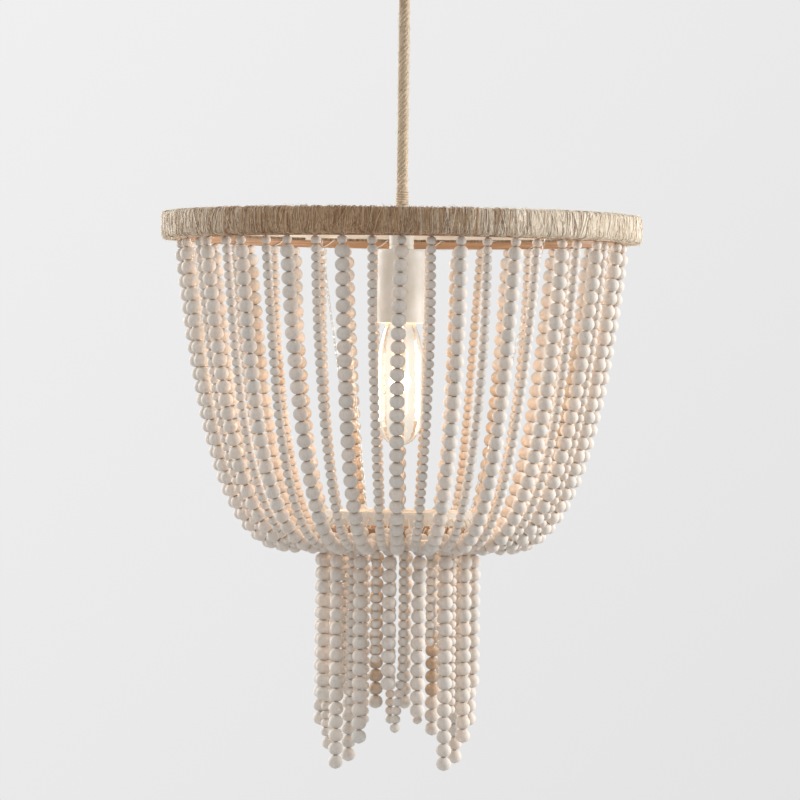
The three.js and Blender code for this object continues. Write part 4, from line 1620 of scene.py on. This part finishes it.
@dataclass(frozen=True)
class Bead:
    """One kind of turned bead."""

    radius: float
    length: float
    hole: float
    sides: int
    rows: int
    fullness: float = 2.15

    def form(self) -> tuple[Array, Array, Array]:
        """Turns the bead about its drilled hole.

        Returns:
            Its points, its faces, and how close each point is to the rim of the hole, from 0 to 1.
        """
        power = 2 / self.fullness
        end = math.acos(((self.hole + 0.45) / self.radius) ** (1 / power))
        turn = np.linspace(-end, end, self.rows + 1)
        reach = self.radius * np.cos(turn) ** power
        level = np.sign(turn) * np.abs(np.sin(turn)) ** power
        level = level / level[-1] * self.length / 2
        outline = [*zip(reach, level), (self.hole, self.length / 2 - 0.5), (self.hole, 0.5 - self.length / 2)]
        points, faces = revolve(outline, self.sides)
        out = np.hypot(points[:, 0], points[:, 1])
        return points, np.array(faces), np.clip(1 - (out - self.hole) / (0.28 * self.radius), 0, 1)


class BeadKind(Enum):
    """The two sizes of bead."""

    LARGE = Bead(radius=7.0, length=12.3, hole=1.5, sides=20, rows=10)
    SMALL = Bead(radius=4.7, length=7.9, hole=1.1, sides=14, rows=7)


@dataclass(frozen=True)
class ThinWash:
    """A stretch of a strand whose beads took less of the wash, so that their warm wood shows."""

    pair: int
    kind: BeadKind
    top: float
    bottom: float
    share: float
    fade: float = 10.0

    def shares(self, levels: Array) -> Array:
        """Says how much bare wood shows on beads at these heights."""
        above, below = ((gap / self.fade) for gap in (levels - self.bottom, self.top - levels))
        return self.share * (smooth_step(above) * smooth_step(below))


class Strand:
    """One pair of strands: its beads, each a little different, and the thread that they share.

    Beads sit a little askew and differ by about 1 percent in width. Few of them are quite round, and the
    grain leans by some degrees.
    """

    askew, uneven, oval, grain_lean = 0.03, 0.012, 0.008, 0.12
    usual_bare = 0.1

    def __init__(self, rng: Random, thin: Sequence[ThinWash], number: int) -> None:
        """Starts a pair.

        Args:
            rng: Source of its unevenness.
            thin: The thin stretches of all pairs.
            number: The pair's number.
        """
        self.rng = rng
        self.thin = [stretch for stretch in thin if stretch.pair == number]
        self.beads, self.thread = Sketch(), Sketch()

    def string(self, kind: BeadKind, at: Path, lengths: Array, step: float = 0.5) -> None:
        """Threads beads on a path.

        Args:
            kind: Their size.
            at: The path, from lengths to points.
            lengths: Where their middles lie along it.
            step: A small step along the path, whose sign says which end of a bead is up.
        """
        form, faces, rim = kind.value.form()
        centres, axes = at(lengths), at(lengths + step) - at(lengths - step)
        count, rng = len(centres), self.rng
        axis = unit(unit(axes) + rng.normal(0, self.askew, (count, 3)))
        first = unit(np.cross(axis, unit(rng.normal(0, 1, (count, 3)))))
        second = np.cross(axis, first)
        wide = rng.normal(1, self.uneven, (count, 1)).clip(0.97, 1.02)
        points = (
            centres[:, None] + form[None, :, :1] * (first * wide)[:, None]
            + form[None, :, 1:2] * (second * wide * rng.normal(1, self.oval, (count, 1)))[:, None]
            + form[None, :, 2:] * axis[:, None]
        )
        tilt = rng.normal(0, self.grain_lean, (count, 1, 2))
        # Each bead was cut from its own place in the wood.
        grain = np.repeat(form[None], count, axis=0) + rng.uniform(0, 400, (count, 1, 3))
        grain[:, :, :2] += tilt * form[None, :, 2:]
        tone = rng.beta(2, 2, (count, 1)) * np.ones((1, len(form)))
        bare = self.usual_bare * rng.spawn(1)[0].beta(1, 2, count)
        for stretch in self.thin:
            if stretch.kind is kind:
                bare = bare + stretch.shares(centres[:, 2])
        steps = (np.arange(count) * len(form))[:, None, None]
        self.beads.add(
            points.reshape(-1, 3), (faces[None] + steps).reshape(-1, 4), bead_tone=tone.ravel(),
            bead_grain=grain.reshape(-1, 3), bead_rim=np.tile(rim, count),
            bead_bare=np.repeat(bare, len(form)),
        )

    def fit(self, kind: str, number: int, body: str) -> None:
        """Makes the pair's two pieces.

        Args:
            kind: Where it hangs, as in its solid's name.
            number: The pair's number.
            body: The body that it moves with.
        """
        self.beads.fit(f"{kind}_beads_{number:02d}", Finishes.bead, body, f"{kind}_pair_{number:02d}")
        self.thread.fit(f"{kind}_thread_{number:02d}", Finishes.thread, body)


@dataclass(frozen=True)
class HangingCurve:
    """A thread that hangs from the rail, with its lowest point near the lower hoop."""

    top_radius: float
    low_radius: float
    end_radius: float
    low: float = LEVELS.bowl_low
    top: float = LEVELS.ring_bottom

    def scale(self) -> float:
        """Finds the scale of the curve that climbs from its lowest point to the rail.

        Returns:
            The radius that a catenary has at its lowest point.
        """
        reach, rise = self.top_radius - self.low_radius, self.top - self.low
        tight, wide = reach / 20, reach * 100
        for _ in range(80):
            scale = math.sqrt(tight * wide)
            if scale * (math.cosh(reach / scale) - 1) > rise:
                tight = scale
            else:
                wide = scale
        return math.sqrt(tight * wide)

    def span(self) -> tuple[float, float]:
        """Measures the curve.

        Returns:
            The lengths along it, from its lowest point, at the lower hoop and at the rail.
        """
        scale = self.scale()
        end, top = (scale * math.sinh((radius - self.low_radius) / scale)
                    for radius in (self.end_radius, self.top_radius))
        return end, top

    def point(self, lengths: Array) -> tuple[Array, Array]:
        """Finds places on the curve.

        Args:
            lengths: Lengths along it, from its lowest point.

        Returns:
            Their radii and their heights.
        """
        scale = self.scale()
        turn = np.arcsinh(lengths / scale)
        return self.low_radius + scale * turn, self.low + scale * (np.cosh(turn) - 1)


@dataclass(frozen=True)
class BeadBowl:
    """The 24 pairs of strands that drape from the rail to the lower hoop."""

    pairs: int = 24
    rail_reach: float = 2.4
    low_radius: float = 107.0
    end_radius: float = 80.0
    large_pitch: float = 12.6
    small_pitch: float = 8.1
    sway: float = 3.2
    ripple: float = 1.0
    outward: tuple[float, float] = (-1.2, 0.8)
    large_lift: float = 1.0
    small_lift: float = 5.5
    lifted_share: float = 0.16
    band_edge: float = 71.2
    thin: tuple[ThinWash, ...] = (
        ThinWash(12, BeadKind.LARGE, -282, -405, 0.4),
        ThinWash(11, BeadKind.LARGE, -385, -520, 0.4),
        ThinWash(9, BeadKind.LARGE, -355, -475, 0.35),
        ThinWash(15, BeadKind.LARGE, -365, -455, 0.35),
        ThinWash(14, BeadKind.LARGE, -445, -530, 0.5),
        ThinWash(16, BeadKind.LARGE, -285, -405, 0.25),
        ThinWash(14, BeadKind.SMALL, -395, -485, 0.3),
        ThinWash(12, BeadKind.SMALL, -440, -520, 0.55),
        ThinWash(15, BeadKind.SMALL, -375, -415, 0.5),
        ThinWash(11, BeadKind.SMALL, -275, -505, 0.25),
    )
    seed: int = 41

    def build(self) -> None:
        """Makes each pair: its beads and the thread that they share."""
        outer, inner = (HangingCurve(RAIL_RADIUS + reach, self.low_radius, self.end_radius)
                        for reach in (self.rail_reach, -self.rail_reach))
        for i in range(self.pairs):
            rng = np.random.default_rng(self.seed + i)
            degrees = 360 * i / self.pairs
            large_at = self.path(outer, degrees, rng, self.large_lift)
            small_at = self.path(inner, degrees + 180 / self.pairs, rng, self.small_lift)
            (end, top), (small_end, small_top) = outer.span(), inner.span()
            # One small bead tops the large strand, as a stop at the rail.
            large = self.fill(end, top - self.small_pitch, self.large_pitch)
            small = self.fill(small_end, small_top, self.small_pitch)
            strand = Strand(rng, self.thin, i + 1)
            strand.string(BeadKind.LARGE, large_at, large)
            strand.string(BeadKind.SMALL, large_at, np.array([top - self.small_pitch / 2]))
            strand.string(BeadKind.SMALL, small_at, small)
            self.add_thread(strand.thread, degrees,
                            large_at(np.linspace(large[0] - self.large_pitch / 2, top, 30)),
                            small_at(np.linspace(small[0] - self.small_pitch / 2, small_top, 30)))
            strand.fit("bowl", i + 1, "lamp")

    def fill(self, end: float, top: float, pitch: float) -> Array:
        """Finds the middles of as many beads as fit between two lengths, the last one against the top."""
        count = int((top - end) / pitch)
        return top - count * pitch + (np.arange(count) + 0.5) * pitch

    def path(self, curve: HangingCurve, degrees: float, rng: Random, lift: float) -> Path:
        """Gives a strand its own small sway, as loose strands have.

        Args:
            curve: The even hanging curve.
            degrees: The strand's angle round the lamp.
            rng: Source of its sway.
            lift: How far its lower end is raised, clear of the tassel and of its neighbours.

        Returns:
            A function from lengths along the strand to points.
        """
        end, top = curve.span()
        side = float(np.clip(rng.normal(0, self.sway * 0.6), -self.sway, self.sway))
        ripple = float(np.clip(rng.normal(0, self.sway * 0.25), -self.ripple, self.ripple))
        out = rng.uniform(*self.outward)

        def at(lengths: Array) -> Array:
            """Finds points along the strand."""
            radius, level = curve.point(lengths)
            share = np.clip((lengths - end) / (top - end), 0, 1)
            shift = side * np.sin(np.pi * share) + ripple * np.sin(2 * np.pi * share)
            level = level + lift * (1 - smooth_step(share / self.lifted_share))
            radius = radius + out * np.sin(np.pi * share) ** 2
            return place(radius, level, degrees + np.degrees(shift / radius))

        return at

    def add_thread(self, sketch: Sketch, degrees: float, large: Array, small: Array) -> None:
        """Runs the thread from the band through one strand, over the rail and back through the other.

        Args:
            sketch: The thread's mesh.
            degrees: The large strand's angle.
            large: Points along the large strand, upwards.
            small: Points along the small strand, upwards.
        """
        band_level = (LEVELS.band_top + LEVELS.band_bottom) / 2
        hook = LEVELS.rail_top + THREAD + 0.1
        outer, inner = RAIL_RADIUS + self.rail_reach, RAIL_RADIUS - self.rail_reach
        # The thread rises by 4.5 mm to the rail's top, crosses it and goes down again, and it moves on
        # round the lamp meanwhile.
        path = np.concatenate([
            place(np.array([self.band_edge]), band_level, degrees),
            large,
            place(np.array([outer, outer - 0.2, outer - 1.0, inner + 1.0, inner + 0.2, inner]),
                  np.array([hook - 4.5, hook - 1.2, hook, hook, hook - 1.2, hook - 4.5]),
                  degrees + np.array([1.9, 3.1, 3.5, 4.0, 4.4, 5.6])),
            small[::-1],
            place(np.array([self.band_edge]), band_level, degrees + 180 / self.pairs),
        ])
        sketch.add(*sweep(path, circle(THREAD, 8), place(1.0, 0.0, degrees)))


@dataclass(frozen=True)
class BeadTassel:
    """The 16 pairs of strands that hang from the lower hoop, each pair with its own lengths."""

    reach: float = 2.8
    rail_reach: float = 3.4
    start: float = -553.4
    large_pitch: float = 12.55
    small_pitch: float = 8.07
    beads: tuple[int, ...] = (13, 17, 15, 11, 14, 17, 15, 13, 13, 17, 16, 14, 12, 17, 15, 11)
    small_beads: tuple[int, ...] = (12, 20, 22, 18, 20, 17, 22, 22, 22, 18, 20, 23, 22, 20, 14, 22)
    sway: float = 0.45
    ripple: float = 0.2
    front_lean: float = -6.5
    lean_start: float = 112.0
    lean_length: float = 66.0
    knot_size: tuple[float, float, float] = (0.3, 0.3, 0.45)
    knot_thread: float = 0.4
    thin: tuple[ThinWash, ...] = (
        ThinWash(9, BeadKind.LARGE, -545, -705, 0.6),
        ThinWash(7, BeadKind.LARGE, -545, -585, 0.4),
        ThinWash(7, BeadKind.LARGE, -636, -712, 0.7),
        ThinWash(7, BeadKind.SMALL, -545, -595, 0.5),
    )
    seed: int = 83

    def build(self) -> None:
        """Makes each pair on its own body, which swings where its thread hooks over the rail."""
        part = 180 / len(self.beads)
        for i, (count, small_count) in enumerate(zip(self.beads, self.small_beads)):
            rng = np.random.default_rng(self.seed + i)
            degrees = TASSEL_TURN + part + 2 * part * i
            lean = self.front_lean if i == len(self.beads) - 1 else 0.0
            large_at = self.path(HOOP_RADIUS + self.reach, degrees, rng, 0.0)
            small_at = self.path(HOOP_RADIUS - self.reach, degrees + part, rng, lean)
            strand = Strand(rng, self.thin, i + 1)
            strand.string(BeadKind.LARGE, large_at, (np.arange(count) + 0.5) * self.large_pitch, -0.5)
            strand.string(BeadKind.SMALL, small_at, (np.arange(small_count) + 0.5) * self.small_pitch, -0.5)
            self.add_thread(strand.thread, degrees, large_at(np.linspace(count * self.large_pitch, 0, 24)),
                            small_at(np.linspace(0, small_count * self.small_pitch, 24)))
            strand.fit("tassel", i + 1, f"tassel_{i + 1:02d}")

    def path(self, radius: float, degrees: float, rng: Random, lean: float) -> Path:
        """Lets a strand hang down, not quite straight.

        Args:
            radius: Its distance from the axis.
            degrees: Its angle round the lamp.
            rng: Source of its small sway.
            lean: How far its last part leans aside.

        Returns:
            A function from drops below the hoop to points.
        """
        side, ripple = (rng.uniform(-most, most) for most in (self.sway, self.ripple))
        phase = rng.uniform(0, 6)

        def at(drops: Array) -> Array:
            """Finds points along the strand."""
            shift = side * np.clip(drops / 120, 0, 1) + ripple * np.sin(drops / 28 + phase)
            shift = shift + lean * smooth_step((drops - self.lean_start) / self.lean_length)
            return place(radius, self.start - drops, degrees + np.degrees(shift / radius))

        return at

    def add_thread(self, sketch: Sketch, degrees: float, large: Array, small: Array) -> None:
        """Runs the thread up one strand, over the rail and down the other, with a knot at each end.

        Args:
            sketch: The thread's mesh.
            degrees: The large strand's angle.
            large: Points along the large strand, upwards.
            small: Points along the small strand, downwards.
        """
        outer, inner = HOOP_RADIUS + self.rail_reach, HOOP_RADIUS - self.reach
        top, hook = LEVELS.hoop_rail_bottom, LEVELS.hoop_rail_top + 1.1
        # The thread goes up beside the rail, crosses it and goes down inside, and it moves on round the lamp.
        path = np.concatenate([
            large,
            place(np.array([outer, outer, outer - 0.5, outer - 1.6, inner + 1.6, inner + 0.5, inner, inner]),
                  np.array([top, hook - 3, hook - 0.9, hook, hook, hook - 0.9, hook - 3, top]),
                  degrees + np.array([1.6, 3.2, 4.4, 5.0, 6.2, 6.8, 8.0, 9.6])),
            small,
        ])
        sketch.add(*sweep(path, circle(THREAD, 8), place(1.0, 0.0, degrees)))
        turn = np.linspace(0, 2 * np.pi, 24, endpoint=False)
        knot = np.stack([np.sin(turn) + 2 * np.sin(2 * turn), np.cos(turn) - 2 * np.cos(2 * turn),
                         -np.sin(3 * turn)], axis=-1) * self.knot_size
        for end in (large[0], small[-1]):
            sketch.add(*sweep(end + (0, 0, 0.3) + knot, circle(self.knot_thread, 6), UP, closed=True))


# Studio


@dataclass(frozen=True)
class Softbox:
    """A square lamp that faces the chandelier. Its size and its distance are in metres."""

    name: str
    power: float
    size: float
    degrees: float
    lift: float
    away: float = 2.6

    def hang(self, level: float) -> None:
        """Hangs it, lifted by some degrees above what it lights.

        Args:
            level: The height that it faces, in metres.
        """
        data = bpy.data.lights.new(self.name, "AREA")
        data.energy, data.size = self.power, self.size
        lamp = bpy.data.objects.new(self.name, data)
        lift, away = math.radians(self.lift), self.away
        lamp.location = place(away * math.cos(lift), level + away * math.sin(lift), self.degrees).tolist()
        lamp.rotation_euler = (math.pi / 2 - lift, 0, math.radians(self.degrees))
        lamp.visible_camera = False
        bpy.context.scene.collection.objects.link(lamp)


@dataclass(frozen=True)
class Studio:
    """Camera, lamps, backdrop and floor. Sizes are in metres, the lens and the board in millimetres."""

    distance: float = 4.771
    level: float = -0.420
    aside: float = 0.0003
    lens: float = 226.35
    sensor: float = 36.0
    roll: float = -0.7
    floor_level: float = -2.6
    floor_radius: float = 1.5
    board: float = 10.0
    softboxes: tuple[Softbox, ...] = (
        Softbox("key_light", 76.0, 1.0, 96, 8), Softbox("rim_light", 58.0, 1.2, -130, 10))
    front: float = 0.83
    behind: float = 0.56
    beside: float = 0.4
    below: float = 0.4
    backdrop: tuple[float, float] = (0.77, 0.87)
    backdrop_edge: float = 0.16

    def build(self) -> None:
        """Sets up everything that isn't the lamp."""
        self.camera()
        for softbox in self.softboxes:
            softbox.hang(self.level)
        self.world()
        top, radius = self.floor_level / MM, self.floor_radius / MM
        bottom = top - self.board
        floor = Sketch().add(*revolve([(0, bottom), (radius, bottom), (radius, top), (0, top)], 96))
        floor.build("studio_floor", Finishes.board)

    def camera(self) -> None:
        """Places the camera in front of the lamp, level but for the small roll of a hand-set tripod."""
        data = bpy.data.cameras.new("camera")
        data.lens, data.sensor_width = self.lens, self.sensor
        camera = bpy.data.objects.new("camera", data)
        camera.location = (self.aside, -self.distance, self.level)
        camera.rotation_euler = (math.pi / 2, math.radians(self.roll), 0)
        bpy.context.scene.collection.objects.link(camera)
        bpy.context.scene.camera = camera

    def world(self) -> None:
        """Lights the lamp softly, more from the front than from behind, before a pale grey backdrop."""
        world = bpy.data.worlds.new("studio")
        bpy.context.scene.world = world
        world.use_nodes = True
        tree = world.node_tree
        tree.nodes.clear()
        x, y, z = add(tree, "SeparateXYZ", (add(tree, "TexCoord", out="Generated"),)).node.outputs
        # The light is strongest from the front. Less comes from behind, from below and from the right.
        level = add(tree, "MapRange", (y, -1, 1, self.front, self.behind))
        for line in ((z, -1, 0.2, self.below, 1), (x, 0, 1, 1, self.beside)):
            level = add(tree, "Math", (level, add(tree, "MapRange", line)), operation="MULTIPLY")
        across = add(tree, "Math", (z, x), operation="SUBTRACT")
        shade = add(tree, "MapRange", (across, -self.backdrop_edge, self.backdrop_edge, *self.backdrop))
        light, backdrop = (add(tree, "Background", ((1, 1, 1, 1), power)) for power in (level, shade))
        path = add(tree, "LightPath").node.outputs
        seen = path["Is Camera Ray"]
        for ray in ("Is Glossy Ray", "Is Transmission Ray"):
            seen = add(tree, "Math", (seen, path[ray]), operation="MAXIMUM")
        both = add(tree, "MixShader", (seen, light, backdrop))
        feed(tree.nodes.new("ShaderNodeOutputWorld"), (both,))


def main() -> None:
    """Builds the lamp and the studio."""
    logging.basicConfig(level=logging.INFO, format="%(name)s %(message)s")
    Studio().build()
    PendantRope().build(CeilingFitting().build())
    for part in (JuteRing(), UpperFrame(), LampHolder(), Bulb(), LowerHoop(), BeadBowl(), BeadTassel()):
        part.build()
    bpy.context.scene.view_settings.view_transform = "Standard"


if __name__ == "__main__":
    main()
